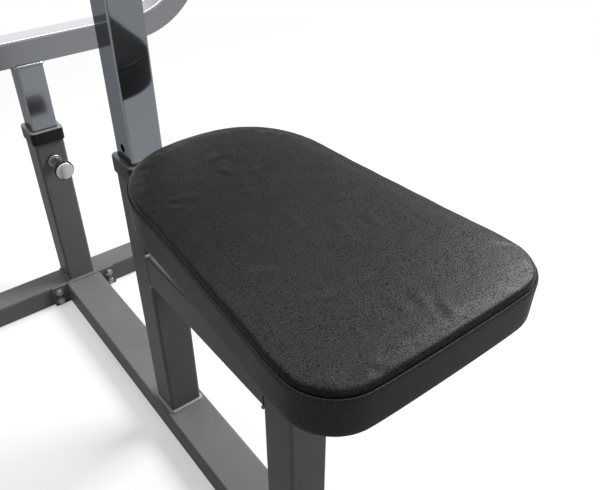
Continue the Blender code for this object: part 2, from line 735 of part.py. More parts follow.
def build_gusset(name, sign, body, under):
    """A web between the arm pad's plate and one face of its post. under is the plate's underside at the post."""
    slope = math.tan(PAD_ANGLE)
    root_y = sign * (POST_DEPTH / 2 + GAP)
    root_z = under.z - slope * (root_y - under.y)
    tip_y = root_y + sign * GUSSET_REACH * math.cos(PAD_ANGLE)
    tip_z = root_z - sign * GUSSET_REACH * math.sin(PAD_ANGLE)
    foot_z = min(root_z, tip_z) - GUSSET_DROP
    outline = [(root_y, foot_z), (root_y, root_z), (tip_y, tip_z), (tip_y, tip_z - GUSSET_TOE)]
    half = GUSSET_THICKNESS / 2
    rings = [[Vector((x, y, z)) for y, z in outline] for x in (-half, half)]
    add_object(name, loft(rings), "painted", parent=body, smooth=False)


def build_arm_pad():
    """Arm pad post with its glide, the sloping plate with gussets, and the board, cushion and bolts on it."""
    body = add_empty("arm_pad_body", (0, MIDDLE_Y, 0))
    low = MIDDLE_PIN_Z - ARM_POST_TAIL
    build_post("arm_pad", body, low, ARM_POST_TOP, MIDDLE_PIN_Z, (ARM_STEPS_DOWN, ARM_STEPS_UP), ALONG_X,
               POST_WIDTH, slope=math.tan(PAD_ANGLE))
    add_object("arm_post_glide", glide_bmesh(), "plastic", (0, 0, low), parent=body)

    tilt = (-PAD_ANGLE, 0, 0)
    normal = Vector((0, math.sin(PAD_ANGLE), math.cos(PAD_ANGLE)))
    plate_place = Vector((0, 0, ARM_POST_TOP)) + normal * GAP
    places = bolt_pattern(PAD_PLATE_WIDTH - 2 * PLATE_BOLT_MARGIN, PAD_PLATE_DEPTH - 2 * PLATE_BOLT_MARGIN)
    plate = rounded_rectangle(PAD_PLATE_WIDTH, PAD_PLATE_DEPTH, PLATE_CORNER)
    drilled("arm_pad_plate", plate, 0, PLATE_THICKNESS, places, PLATE_THICKNESS + CUT_MARGIN, "painted",
            plate_place, tilt, body)
    board_place = plate_place + normal * (PLATE_THICKNESS + GAP)
    drilled("arm_pad_board", pad_outline(PAD_BOARD_INSET), 0, BOARD_THICKNESS, places, BOLT_HOLD + GAP,
            "plywood", board_place, tilt, body)
    cushion = cushion_bmesh(pad_outline, 0, PAD_SEAM, PAD_ROLL, PAD_CROWN, PAD_BOARD_INSET)
    add_object("arm_pad_cushion", cushion, "leather", board_place, tilt, body)
    under = plate_place - normal * GAP
    add_bolts("arm_pad_bolt", PLATE_THICKNESS + 2 * GAP + BOLT_HOLD, places, under, tilt, body)
    build_gusset("arm_pad_front_gusset", 1, body, under)
    build_gusset("arm_pad_rear_gusset", -1, body, under)


def yoke_path():
    """Stations of the bar rest's tube: its middle line in XZ, and how far it has turned up from level."""
    half = [(0.0, 0.0, 0.0)]
    bend_steps = 9
    for step in range(bend_steps + 1):
        angle = math.pi / 2 * step / bend_steps
        half.append((YOKE_STRAIGHT + YOKE_BEND * math.sin(angle), YOKE_BEND * (1 - math.cos(angle)), angle))
    half.append((YOKE_ARM_X, YOKE_TOP - CAP_THICKNESS - YOKE_HEIGHT, math.pi / 2))
    return [(-x, z, -angle) for x, z, angle in reversed(half[1:])] + half


def yoke_bmesh():
    """A square tube bent to a wide U, open at both upper ends."""
    bore = YOKE_SIZE - 2 * TUBE_WALL
    outer = rounded_rectangle(YOKE_SIZE, YOKE_SIZE, CORNER_RADIUS)
    inner = rounded_rectangle(bore, bore, CORNER_RADIUS - TUBE_WALL)
    shells = []
    for points in (outer, inner):
        shell = []
        for x, z, angle in yoke_path():
            across = Vector((-math.sin(angle), 0, math.cos(angle)))
            middle = Vector((x, 0, z))
            shell.append([middle + across * a + Vector((0, b, 0)) for a, b in points])
        shells.append(shell)
    return loft(shells[0] + list(reversed(shells[1])), loop=True)


def hook_outline(inner_radius, thickness, leg, lip, flare):
    """A J in the plane of (distance from the arm, height), about the centre of its round bottom.

    The lip rises straight, and above it the edge leans out by flare.
    """
    outer_radius = inner_radius + thickness
    inside = [(-inner_radius, leg)]
    outside = [(-outer_radius, leg)]
    steps = 10
    for step in range(steps + 1):
        angle = math.pi + math.pi * step / steps
        inside.append((inner_radius * math.cos(angle), inner_radius * math.sin(angle)))
        outside.append((outer_radius * math.cos(angle), outer_radius * math.sin(angle)))
    inside.append((inner_radius, lip))
    outside.append((outer_radius, lip - flare))
    if flare:
        inside.append((inner_radius + flare, lip + 2 * flare))
        outside.append((outer_radius + flare, lip + flare))
    return inside + list(reversed(outside))


def add_hook_piece(name, finish, outline, half_width, centre, body):
    """A hook outline, extruded across the arm of the yoke."""
    rings = [[Vector((x, -out, z)) for out, z in outline] for x in (-half_width, half_width)]
    add_object(name, loft(rings), finish, centre, parent=body)


def build_bar_rest():
    """Bar rest post with its glide, the bent yoke with end caps, and a lined hook on the rear of each arm."""
    body = add_empty("bar_rest_body", (0, FRONT_Y, 0))
    low = FRONT_PIN_Z - BAR_POST_TAIL
    build_post("bar_rest", body, low, BAR_POST_TOP, FRONT_PIN_Z, (BAR_STEPS_DOWN, BAR_STEPS_UP), AGAINST_Y,
               POST_WALL)
    add_object("bar_post_glide", glide_bmesh(), "plastic", (0, 0, low), parent=body)
    add_object("bar_rest_yoke", yoke_bmesh(), "satin", (0, 0, YOKE_HEIGHT), parent=body)

    cradle_y = -YOKE_SIZE / 2 - GAP - HOOK_THICKNESS - HOOK_RADIUS
    cradle_z = YOKE_TOP - HOOK_BELOW_TOP
    hook = hook_outline(HOOK_RADIUS, HOOK_THICKNESS, HOOK_LEG, HOOK_LIP, HOOK_FLARE)
    liner_radius = HOOK_RADIUS - GAP - HOOK_LINER_THICKNESS
    liner = hook_outline(liner_radius, HOOK_LINER_THICKNESS, HOOK_LEG, HOOK_LIP, 0)
    half = YOKE_SIZE / 2
    for side, sign in (("left", -1), ("right", 1)):
        place = (sign * YOKE_ARM_X, 0, YOKE_TOP - CAP_THICKNESS)
        add_object(side + "_arm_cap", plug_cap(YOKE_SIZE, YOKE_SIZE), "plastic", place, parent=body)
        centre = (sign * YOKE_ARM_X, cradle_y, cradle_z)
        add_hook_piece(side + "_bar_hook", "painted", hook, half, centre, body)
        add_hook_piece(side + "_hook_liner", "plastic", liner, half - HOOK_LINER_MARGIN, centre, body)


def build_bench():
    """Builds every piece of the bench."""
    clear_scene()
    build_floor_frame()
    build_middle_upright()
    build_front_upright()
    build_seat_support()
    build_seat()
    build_arm_pad()
    build_bar_rest()


build_bench()
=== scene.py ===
# %% [markdown]
# # A preacher bench, dressed for its picture
#
# The bench is a gym machine: a welded frame of rectangular steel tube, a padded seat, a sloping arm pad and
# a wide bar rest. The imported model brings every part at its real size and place. This script adds what the
# eye sees: smooth edges, welds, the stuffed covers with their sewn groove, and the finish of every surface.

# %% Load the frame
import json
import math

import bmesh
import bpy
from mathutils import Matrix, Vector, noise


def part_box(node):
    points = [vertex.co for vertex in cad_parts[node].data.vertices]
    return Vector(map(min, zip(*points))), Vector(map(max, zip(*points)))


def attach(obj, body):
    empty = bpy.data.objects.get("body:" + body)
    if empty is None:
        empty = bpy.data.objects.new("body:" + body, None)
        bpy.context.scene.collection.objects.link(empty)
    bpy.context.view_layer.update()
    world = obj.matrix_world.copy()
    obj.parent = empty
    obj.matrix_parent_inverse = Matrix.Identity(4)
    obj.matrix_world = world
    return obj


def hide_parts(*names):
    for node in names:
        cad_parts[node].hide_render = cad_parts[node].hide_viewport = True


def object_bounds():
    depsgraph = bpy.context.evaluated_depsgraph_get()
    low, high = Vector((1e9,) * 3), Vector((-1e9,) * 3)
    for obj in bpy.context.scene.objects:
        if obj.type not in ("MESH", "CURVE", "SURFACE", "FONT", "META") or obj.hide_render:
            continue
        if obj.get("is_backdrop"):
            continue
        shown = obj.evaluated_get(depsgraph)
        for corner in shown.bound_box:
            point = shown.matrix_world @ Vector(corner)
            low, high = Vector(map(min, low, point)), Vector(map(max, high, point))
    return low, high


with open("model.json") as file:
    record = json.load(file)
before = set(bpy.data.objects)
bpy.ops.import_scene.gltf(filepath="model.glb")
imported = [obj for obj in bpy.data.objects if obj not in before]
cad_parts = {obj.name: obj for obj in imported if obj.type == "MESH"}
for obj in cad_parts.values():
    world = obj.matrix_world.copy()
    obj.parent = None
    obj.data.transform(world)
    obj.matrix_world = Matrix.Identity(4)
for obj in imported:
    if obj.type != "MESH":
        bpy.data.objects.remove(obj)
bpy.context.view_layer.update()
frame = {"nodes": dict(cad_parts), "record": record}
slot_of = {part["node"]: part["material_slot"] for part in frame["record"]["subparts"]}
body_of = {}
for body, members in frame["record"]["behaviour"]["bodies"].items():
    for member in members:
        body_of[member] = body

# %% [markdown]
# ## Camera
#
# The picture was taken from behind the seat's left corner, a metre above the floor and looking down. The
# place, the turn and the lens follow from the straight edges of the frame: the uprights give the horizon,
# the long base gives the heading, and the size of the tubes gives the distance.

# %% Camera
CAMERA_PLACE = (-0.344, -0.7715, 1.035)
CAMERA_TILT = 53.91
CAMERA_HEADING = -37.59
CAMERA_ROLL = 0.17
CAMERA_LENS_MM = 40.36
SENSOR_WIDTH_MM = 36.0
NEAREST_DRAWN = 0.02

bpy.ops.object.camera_add(
    location=CAMERA_PLACE,
    rotation=(math.radians(CAMERA_TILT), math.radians(CAMERA_ROLL), math.radians(CAMERA_HEADING)),
)
camera = bpy.context.object
camera.name = "picture_camera"
camera.data.lens = CAMERA_LENS_MM
camera.data.sensor_width = SENSOR_WIDTH_MM
camera.data.clip_start = NEAREST_DRAWN
bpy.context.scene.camera = camera
bpy.context.scene.view_settings.view_transform = "Standard"
print("camera:", tuple(camera.location), "lens", camera.data.lens)

# %% [markdown]
# ## Colours and nodes
#
# Colours are written as a paint shop would note them, as hex values seen on a screen, and one function turns
# them into the linear numbers that Blender mixes. One more function adds a shader node with its settings and
# links. A colour ramp also gets its stops, which say where in a pattern each colour is reached.

# %% Colour and node helpers
def hex_colour(code):
    """Linear RGBA of an sRGB hex colour such as 3c3c3e."""
    channels = [int(code[i:i + 2], 16) / 255 for i in (0, 2, 4)]
    linear = [c / 12.92 if c <= 0.04045 else ((c + 0.055) / 1.055) ** 2.4 for c in channels]
    return (*linear, 1.0)


def link_to(tree, node, links):
    """Joins outputs to a node's inputs, each given by its name or number."""
    for key, source in links.items():
        tree.links.new(source, node.inputs[key])


def add_node(tree, kind, settings=None, links=None, stops=()):
    """Adds a node. A setting whose name or number is one of its inputs goes there."""
    node = tree.nodes.new(kind)
    for key, value in (settings or {}).items():
        if isinstance(key, int) or key in node.inputs:
            node.inputs[key].default_value = value
        else:
            setattr(node, key, value)
    link_to(tree, node, links or {})
    for number, (position, code) in enumerate(stops):
        node.color_ramp.elements[number].position = position
        node.color_ramp.elements[number].color = hex_colour(code)
    return node


def new_finish(name, settings):
    """A material with a Principled shader, and the Object coordinates that its patterns are drawn in."""
    material = bpy.data.materials.new(name)
    material.use_nodes = True
    tree = material.node_tree
    shader = tree.nodes["Principled BSDF"]
    for key, value in settings.items():
        shader.inputs[key].default_value = value
    place = add_node(tree, "ShaderNodeTexCoord").outputs["Object"]
    return material, tree, shader, place


print("the screen's middle grey, 808080, gives back", round(hex_colour("808080")[0], 3), "of the light")

# %% [markdown]
# ## Floor and sky
#
# The picture is a plain studio one: everything round the bench is white, with faint grey shadows where the
# base stands. The floor is a pale painted sheet. Rays from the camera and from shiny metal see it as part
# paint and part glow, so that it reads as white and still keeps the shadow. Further out the glow takes over,
# and the sheet ends in plain white. The sky is white to the same rays and gives the bench little light.

# %% Floor and sky
FLOOR_SIZE = 60.0
FLOOR_GLOW = 0.42
GLOW_GROWS_FROM = 0.9
GLOW_FULL_AT = 2.6
WORLD_FILL = 0.12


def seen_directly(tree):
    """1 for rays from the camera, a mirror or glass, and 0 for the light that the stage gives."""
    rays = add_node(tree, "ShaderNodeLightPath").outputs
    first = add_node(tree, "ShaderNodeMath", {"operation": "MAXIMUM"},
                     {0: rays["Is Camera Ray"], 1: rays["Is Glossy Ray"]})
    return add_node(tree, "ShaderNodeMath", {"operation": "MAXIMUM"},
                    {0: first.outputs[0], 1: rays["Is Transmission Ray"]}).outputs[0]


def floor_sheet():
    """Pale painted floor that glows for the rays that see it directly, more so away from the bench."""
    material = bpy.data.materials.new("pale studio floor")
    material.use_nodes = True
    tree = material.node_tree
    tree.nodes.clear()
    paint = add_node(tree, "ShaderNodeBsdfDiffuse", {"Color": hex_colour("a0a0a0")})
    glow = add_node(tree, "ShaderNodeEmission", {"Color": hex_colour("ffffff"), "Strength": 1.0})
    place = add_node(tree, "ShaderNodeTexCoord")
    away = add_node(tree, "ShaderNodeVectorMath", {"operation": "LENGTH"}, {0: place.outputs["Object"]})
    glow_share = add_node(tree, "ShaderNodeMapRange",
                          {"From Min": GLOW_GROWS_FROM, "From Max": GLOW_FULL_AT,
                           "To Min": FLOOR_GLOW, "To Max": 1.0}, {"Value": away.outputs["Value"]})
    share = add_node(tree, "ShaderNodeMath", {"operation": "MULTIPLY"},
                     {0: seen_directly(tree), 1: glow_share.outputs["Result"]})
    mix = add_node(tree, "ShaderNodeMixShader", {},
                   {0: share.outputs[0], 1: paint.outputs[0], 2: glow.outputs[0]})
    add_node(tree, "ShaderNodeOutputMaterial", {}, {"Surface": mix.outputs[0]})
    return material


bpy.ops.mesh.primitive_plane_add(size=FLOOR_SIZE, location=(0, 0, 0))
floor = bpy.context.object
floor.name = "floor"
floor.data.materials.append(floor_sheet())
floor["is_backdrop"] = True

world = bpy.data.worlds.new("studio")
bpy.context.scene.world = world
world.use_nodes = True
world_tree = world.node_tree
world_tree.nodes.clear()
strength = add_node(world_tree, "ShaderNodeMapRange", {"To Min": WORLD_FILL, "To Max": 1.0},
                    {"Value": seen_directly(world_tree)})
sky = add_node(world_tree, "ShaderNodeBackground", {"Color": hex_colour("ffffff")},
               {"Strength": strength.outputs["Result"]})
add_node(world_tree, "ShaderNodeOutputWorld", {}, {"Surface": sky.outputs[0]})
print("floor and sky made, floor", FLOOR_SIZE, "m wide")

# %% [markdown]
# ## Lamps
#
# Four large soft lamps light the bench, as in a studio. The strongest stands high on the right and shapes
# the seat and the tubes. A broad one overhead brightens what faces up. A weak panel beyond the bench gives
# the steel its pale streaks, and a weak lamp on the camera's side opens the shadows of the near faces.

# %% Lamps
def soft_lamp(name, place, target, width, height, power):
    """A rectangular lamp that faces a point of the bench. Its power is in watts."""
    bpy.ops.object.light_add(type="AREA", location=place)
    lamp = bpy.context.object
    lamp.name = name
    lamp.data.shape = "RECTANGLE"
    lamp.data.size = width
    lamp.data.size_y = height
    lamp.data.energy = power
    lamp.rotation_euler = (Vector(target) - Vector(place)).to_track_quat("-Z", "Y").to_euler()
    print(name, power, "W")


soft_lamp("overhead_lamp", (-0.1, 0.7, 3.1), target=(0.0, -0.1, 0.5), width=3.0, height=2.2, power=165)
soft_lamp("side_lamp", (2.4, -0.2, 2.6), target=(0.0, -0.3, 0.65), width=1.7, height=1.4, power=340)
soft_lamp("back_panel", (0.9, 4.2, 1.9), target=(0.0, 0.3, 0.6), width=3.0, height=1.6, power=26)
soft_lamp("front_lamp", (-0.3, -3.2, 1.8), target=(0.0, -0.3, 0.5), width=3.0, height=1.2, power=34)

# %% [markdown]
# ## Powder coat
#
# The frame is mild steel tube with a dark grey powder coat: dry paint powder that is melted on, so it has a
# low, even sheen and a very fine ripple called orange peel, about a millimetre across. Slow patches, a hand
# wide, keep the grey from being flat. The weld beads at the seat and the middle upright get the same coat
# mixed paler: that paleness is a painted highlight, for the light that their round ripples catch.

# %% Powder-coated steel
PEEL_PER_METRE = 900.0
PATCHES_PER_METRE = 9.0

FINISH = {}


def powder_coat(name, dark, light):
    """Grey powder coat over mild steel, dry and even, with ripples 1.1 mm wide and patches 110 mm wide."""
    settings = {"Roughness": 0.45, "IOR": 1.5, "Specular IOR Level": 0.03}
    material, tree, shader, place = new_finish(name, settings)
    patches = add_node(tree, "ShaderNodeTexNoise", {"Scale": PATCHES_PER_METRE, "Detail": 3.0},
                       {"Vector": place})
    colour = add_node(tree, "ShaderNodeValToRGB", {}, {"Fac": patches.outputs["Fac"]},
                      stops=((0.3, dark), (0.7, light)))
    peel = add_node(tree, "ShaderNodeTexNoise", {"Scale": PEEL_PER_METRE, "Detail": 1.0}, {"Vector": place})
    bump = add_node(tree, "ShaderNodeBump", {"Strength": 0.08, "Distance": 0.0004},
                    {"Height": peel.outputs["Fac"]})
    link_to(tree, shader, {"Base Color": colour.outputs["Color"], "Normal": bump.outputs["Normal"]})
    return material


FINISH["painted_steel"] = powder_coat("powder coated steel", "464647", "4c4c4d")
# Paler coat for the beads at the middle upright and the seat: a painted highlight for the light they catch.
WELD_COAT_PAINTED_HIGHLIGHT = powder_coat("weld coat painted with highlight", "6a6a6b", "787879")
print("made:", FINISH["painted_steel"].name, "and", WELD_COAT_PAINTED_HIGHLIGHT.name)

# %% [markdown]
# ## Bright tube
#
# The inner posts are polished steel, so smooth that the seat's nose shows in them like in a dark mirror. A
# mirror has almost no colour of its own: its base colour says how much light it gives back. Smears from
# hands, some 40 mm long, make its roughness wander a little, and a thin haze of old polish lifts the darkest
# reflections. The bar rest is the same steel, only satin: it was brushed. Brush lines are a tenth of a
# millimetre wide, too fine to show, so they are drawn a millimetre wide and very shallow.

# %% Polished and satin steel
SMEARS_PER_METRE = 26.0
BRUSH_LINES_PER_METRE = (14.0, 900.0, 900.0)


def polished_steel():
    """Polished steel of the inner posts, which gives the eye a dark mirror with a thin haze on it."""
    material, tree, shader, place = new_finish("polished steel", {
        "Metallic": 1.0, "Base Color": hex_colour("72767b"), "Specular Tint": hex_colour("a8a8a8"),
        "Sheen Weight": 0.10, "Sheen Roughness": 0.6})
    smears = add_node(tree, "ShaderNodeTexNoise", {"Scale": SMEARS_PER_METRE, "Detail": 4.0},
                      {"Vector": place})
    roughness = add_node(tree, "ShaderNodeMapRange", {"To Min": 0.04, "To Max": 0.08},
                         {"Value": smears.outputs["Fac"]})
    link_to(tree, shader, {"Roughness": roughness.outputs["Result"]})
    return material


def satin_steel():
    """Brushed steel of the bar rest, which spreads each highlight into a soft band."""
    material, tree, shader, place = new_finish("satin steel", {
        "Metallic": 1.0, "Base Color": hex_colour("797b7f")})
    stretched = add_node(tree, "ShaderNodeMapping", {"Scale": BRUSH_LINES_PER_METRE}, {"Vector": place})
    lines = add_node(tree, "ShaderNodeTexNoise", {"Scale": 1.0, "Detail": 2.0},
                     {"Vector": stretched.outputs["Vector"]})
    roughness = add_node(tree, "ShaderNodeMapRange", {"To Min": 0.27, "To Max": 0.285},
                         {"Value": lines.outputs["Fac"]})
    bump = add_node(tree, "ShaderNodeBump", {"Strength": 0.0004, "Distance": 0.0003},
                    {"Height": lines.outputs["Fac"]})
    link_to(tree, shader, {"Roughness": roughness.outputs["Result"], "Normal": bump.outputs["Normal"]})
    return material


FINISH["polished_steel"] = polished_steel()
FINISH["satin_steel"] = satin_steel()
print("made:", FINISH["polished_steel"].name, "and", FINISH["satin_steel"].name)

# %% [markdown]
# ## Small metal and plastic
#
# Bolts and pins are zinc plated, which leaves a frosty bloom in spots of about 3 mm. The knob's cap is
# turned aluminium. Its turning marks are too fine to show, so a soft grain of 1.4 mm stands in for them.
# Sleeves, end caps and glides are moulded nylon with an eroded skin. Real erosion is a few tenths of a
# millimetre, so its grain is drawn twice as coarse. The tops of the sleeves are glossier and painted a
# much paler grey; that pale grey is painted light, for the light that falls on the tops. The knob is
# moulded in a glossier phenolic plastic.

# %% Zinc, turned metal and moulded plastics
BLOOM_PER_METRE = 300.0
TURNED_GRAIN_PER_METRE = 700.0


def zinc_plate():
    """Zinc-plated steel of bolts, pins and pin housings, which looks grey and a little frosted."""
    material, tree, shader, place = new_finish("zinc plated steel", {"Metallic": 1.0})
    bloom = add_node(tree, "ShaderNodeTexNoise", {"Scale": BLOOM_PER_METRE, "Detail": 3.0},
                     {"Vector": place})
    colour = add_node(tree, "ShaderNodeValToRGB", {}, {"Fac": bloom.outputs["Fac"]},
                      stops=((0.3, "6f7072"), (0.7, "8b8b8a")))
    roughness = add_node(tree, "ShaderNodeMapRange", {"To Min": 0.25, "To Max": 0.42},
                         {"Value": bloom.outputs["Fac"]})
    link_to(tree, shader, {"Base Color": colour.outputs["Color"], "Roughness": roughness.outputs["Result"]})
    return material


def turned_metal():
    """Turned aluminium of the knob caps, the brightest small spot on the bench."""
    material, tree, shader, place = new_finish("turned aluminium", {"Metallic": 1.0, "Roughness": 0.3})
    grain = add_node(tree, "ShaderNodeTexNoise", {"Scale": TURNED_GRAIN_PER_METRE, "Detail": 1.0},
                     {"Vector": place})
    colour = add_node(tree, "ShaderNodeValToRGB", {}, {"Fac": grain.outputs["Fac"]},
                      stops=((0.35, "9c9c9c"), (0.65, "b2b2b1")))
    link_to(tree, shader, {"Base Color": colour.outputs["Color"]})
    return material


def moulded_plastic(name, dark, light, roughness, grain_mm, gloss=0.04):
    """Moulded plastic with an eroded skin, its grain of the given size."""
    settings = {"Roughness": roughness, "IOR": 1.5, "Specular IOR Level": gloss}
    material, tree, shader, place = new_finish(name, settings)
    grain = add_node(tree, "ShaderNodeTexNoise", {"Scale": 1000.0 / grain_mm, "Detail": 2.0},
                     {"Vector": place})
    colour = add_node(tree, "ShaderNodeValToRGB", {}, {"Fac": grain.outputs["Fac"]},
                      stops=((0.35, dark), (0.65, light)))
    bump = add_node(tree, "ShaderNodeBump", {"Strength": 0.12, "Distance": 0.0003},
                    {"Height": grain.outputs["Fac"]})
    link_to(tree, shader, {"Base Color": colour.outputs["Color"], "Normal": bump.outputs["Normal"]})
    return material


FINISH["zinc_steel"] = zinc_plate()
FINISH["knob_metal"] = turned_metal()
FINISH["black_plastic"] = moulded_plastic("moulded nylon", "171718", "1d1d1e", roughness=0.42, grain_mm=0.6)
FINISH["knob_plastic"] = moulded_plastic("moulded phenolic", "1d1f21", "222427", roughness=0.24,
                                         grain_mm=0.9)
# Glossier nylon for the sleeves' tops, painted pale grey: painted light where light falls on them.
SLEEVE_TOP_LIT_NYLON = moulded_plastic("nylon painted pale on top", "4c4c4d", "565657", roughness=0.34, grain_mm=0.6,
                             gloss=0.25)
print("finishes so far:", ", ".join(FINISH))

# %% [markdown]
# ## Cover and board
#
# The covers are synthetic leather. The tops have pebbles pressed into them, under a millimetre wide. That
# is too fine to show, so they are drawn 1.3 mm wide and read as a speckle. A Voronoi pattern gives the
# pebbles, a noise of the same size breaks them up, and slower noises give clouds of 17 mm and rubbed places
# of 90 mm. The tips of the pebbles are shinier than the hollows, and a bloom of fine dust greys the skin at
# a low angle. The side bands have no dust and are painted a paler grey than the tops; that paler grey is
# painted light, making up for the light their upright sides miss. The boards are raw birch plywood.

# %% Synthetic leather and plywood
PEBBLES_PER_METRE = 780.0
SPECKLE_PER_METRE = 760.0
CLOUDS_PER_METRE = 60.0
RUBBED_PER_METRE = 11.0
WOOD_GRAIN_PER_METRE = (6.0, 160.0, 160.0)


def synthetic_leather(name, dark, light, emboss, bloom, gloss, glint):
    """Black synthetic leather. Glint is how much shinier the pebbles' tips are than their middle level."""
    material, tree, shader, place = new_finish(name, {"IOR": 1.48, "Sheen Roughness": 0.35})
    pebbles = add_node(tree, "ShaderNodeTexVoronoi", {"Scale": PEBBLES_PER_METRE, "Randomness": 1.0},
                       {"Vector": place})
    speckle = add_node(tree, "ShaderNodeTexNoise",
                       {"Scale": SPECKLE_PER_METRE, "Detail": 1.0, "Roughness": 0.8}, {"Vector": place})
    clouds = add_node(tree, "ShaderNodeTexNoise",
                      {"Scale": CLOUDS_PER_METRE, "Detail": 4.0, "Roughness": 0.6}, {"Vector": place})
    rubbed = add_node(tree, "ShaderNodeTexNoise", {"Scale": RUBBED_PER_METRE, "Detail": 3.0},
                      {"Vector": place})
    cloud_share = add_node(tree, "ShaderNodeMapRange", {"To Min": 1.1, "To Max": 1.9},
                           {"Value": clouds.outputs["Fac"]})
    grain = add_node(tree, "ShaderNodeMath", {"operation": "MULTIPLY_ADD", 2: -0.25},
                     {0: speckle.outputs["Fac"], 1: cloud_share.outputs["Result"]})
    colour = add_node(tree, "ShaderNodeValToRGB", {}, {"Fac": grain.outputs[0]},
                      stops=((0.38, dark), (0.66, light)))
    roughness = add_node(tree, "ShaderNodeMapRange", {"To Min": 0.36, "To Max": 0.46},
                         {"Value": rubbed.outputs["Fac"]})
    for socket, level in (("Specular IOR Level", gloss), ("Sheen Weight", bloom)):
        shader.inputs[socket].default_value = level
        if level > 0:
            shine = add_node(tree, "ShaderNodeMapRange",
                             {"From Min": 0.0, "From Max": 0.95,
                              "To Min": level * (1 + glint), "To Max": level * (1 - glint)},
                             {"Value": pebbles.outputs["Distance"]})
            link_to(tree, shader, {socket: shine.outputs["Result"]})
    skin = add_node(tree, "ShaderNodeMath", {"operation": "ADD"},
                    {0: pebbles.outputs["Distance"], 1: speckle.outputs["Fac"]})
    bump = add_node(tree, "ShaderNodeBump", {"Strength": emboss, "Distance": 0.0010},
                    {"Height": skin.outputs[0]})
    link_to(tree, shader, {"Base Color": colour.outputs["Color"], "Roughness": roughness.outputs["Result"],
                           "Normal": bump.outputs["Normal"]})
    return material


def birch_plywood():
    """Raw birch plywood, pale and dry, with streaks 6 mm wide along the board's width."""
    material, tree, shader, place = new_finish("birch plywood", {"Roughness": 0.75})
    along = add_node(tree, "ShaderNodeMapping", {"Scale": WOOD_GRAIN_PER_METRE}, {"Vector": place})
    grain = add_node(tree, "ShaderNodeTexNoise", {"Scale": 1.0, "Detail": 5.0},
                     {"Vector": along.outputs["Vector"]})
    colour = add_node(tree, "ShaderNodeValToRGB", {}, {"Fac": grain.outputs["Fac"]},
                      stops=((0.3, "a98558"), (0.7, "c8a677")))
    bump = add_node(tree, "ShaderNodeBump", {"Strength": 0.2, "Distance": 0.0003},
                    {"Height": grain.outputs["Fac"]})
    link_to(tree, shader, {"Base Color": colour.outputs["Color"], "Normal": bump.outputs["Normal"]})
    return material


FINISH["black_leather"] = synthetic_leather("embossed synthetic leather", "0a0a0a", "111111", emboss=0.15,
                                            bloom=0.086, gloss=0.058, glint=0.90)
# The side band's paler grey is painted light, making up for the light its upright sides miss.
BAND_LEATHER_PAINTED_PALER = synthetic_leather("band leather painted paler", "1f1f21", "2a2a2c", emboss=0.45,
                                 bloom=0.0, gloss=0.026, glint=0.12)
FINISH["plywood"] = birch_plywood()
print("all finishes:", ", ".join(FINISH))

# %% [markdown]
# ## Smooth copies of the hard parts
#
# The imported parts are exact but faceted. A copy of each one has its loose triangles merged and its flat
# faces dissolved into whole ones. Then its sharp edges get the small round that a deburred or moulded edge
# has, which is what catches the light, and weighted normals keep the large faces flat.

# %% Helpers for the hard parts
MERGE_DISTANCE = 0.00001
FLAT_WITHIN = math.radians(0.5)
SHARP_BEYOND = math.radians(40)

EDGE_ROUND = {
    "painted_steel": 0.0006,
    "polished_steel": 0.0004,
    "satin_steel": 0.0004,
    "zinc_steel": 0.0003,
    "knob_metal": 0.0002,
    "black_plastic": 0.0004,
    "knob_plastic": 0.0004,
    "plywood": 0.0008,
}


def select_only(obj):
    """Leaves obj alone selected and active, in object mode."""
    if bpy.context.object and bpy.context.object.mode != "OBJECT":
        bpy.ops.object.mode_set(mode="OBJECT")
    bpy.ops.object.select_all(action="DESELECT")
    obj.select_set(True)
    bpy.context.view_layer.objects.active = obj


def apply_modifier(obj, kind, settings):
    """Adds a modifier with its settings and applies it."""
    select_only(obj)
    modifier = obj.modifiers.new(kind.lower(), kind)
    for key, value in settings.items():
        setattr(modifier, key, value)
    bpy.ops.object.modifier_apply(modifier=modifier.name)


def merged_copy(node, name):
    """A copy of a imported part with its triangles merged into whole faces."""
    copy = bpy.data.objects.new(name, frame["nodes"][node].data.copy())
    bpy.context.scene.collection.objects.link(copy)
    copy.data.materials.clear()
    select_only(copy)
    bpy.ops.object.mode_set(mode="EDIT")
    bpy.ops.mesh.select_all(action="SELECT")
    bpy.ops.mesh.remove_doubles(threshold=MERGE_DISTANCE)
    bpy.ops.mesh.dissolve_limited(angle_limit=FLAT_WITHIN)
    bpy.ops.object.mode_set(mode="OBJECT")
    return copy


def smooth_faces(obj, degrees):
    """Smooth shading up to an angle, with the large faces kept flat."""
    select_only(obj)
    bpy.ops.object.shade_smooth_by_angle(angle=math.radians(degrees))
    apply_modifier(obj, "WEIGHTED_NORMAL", {"keep_sharp": True})


def hand_over(piece, node):
    """Gives a piece the finish of its node's slot and its node's body, and hides the node in its place."""
    piece.data.materials.append(FINISH[slot_of[node]])
    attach(piece, body_of[node])
    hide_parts(node)


print("edges are rounded by", min(EDGE_ROUND.values()), "to", max(EDGE_ROUND.values()), "m")

# %% [markdown]
# ## Bolts, plates, sleeves and pins
#
# Every part keeps its imported shape here, apart from the ones that later cells model anew. A sleeve gets a
# second finish on its faces that look up: glossier, and painted pale grey as painted light on its top.

# %% Finish the hard parts
LIT_TOP_WHERE_UP = 0.3

REMODELLED = {
    "front_knob_cap", "middle_knob_cap", "seat_cushion", "arm_pad_cushion", "bar_rest_yoke", "base_beam",
    "front_cross_tube", "rear_cross_tube", "front_upright", "middle_upright", "seat_upright", "seat_beam",
    "arm_pad_post", "bar_rest_post",
}


def finish_part(node):
    """Replaces a hard part by its smooth copy, in its slot's finish, on the same body."""
    part = merged_copy(node, "finished_" + node)
    settings = {"width": EDGE_ROUND[slot_of[node]], "segments": 2, "limit_method": "ANGLE",
                "angle_limit": SHARP_BEYOND, "use_clamp_overlap": True}
    apply_modifier(part, "BEVEL", settings)
    smooth_faces(part, 35)
    hand_over(part, node)
    return part


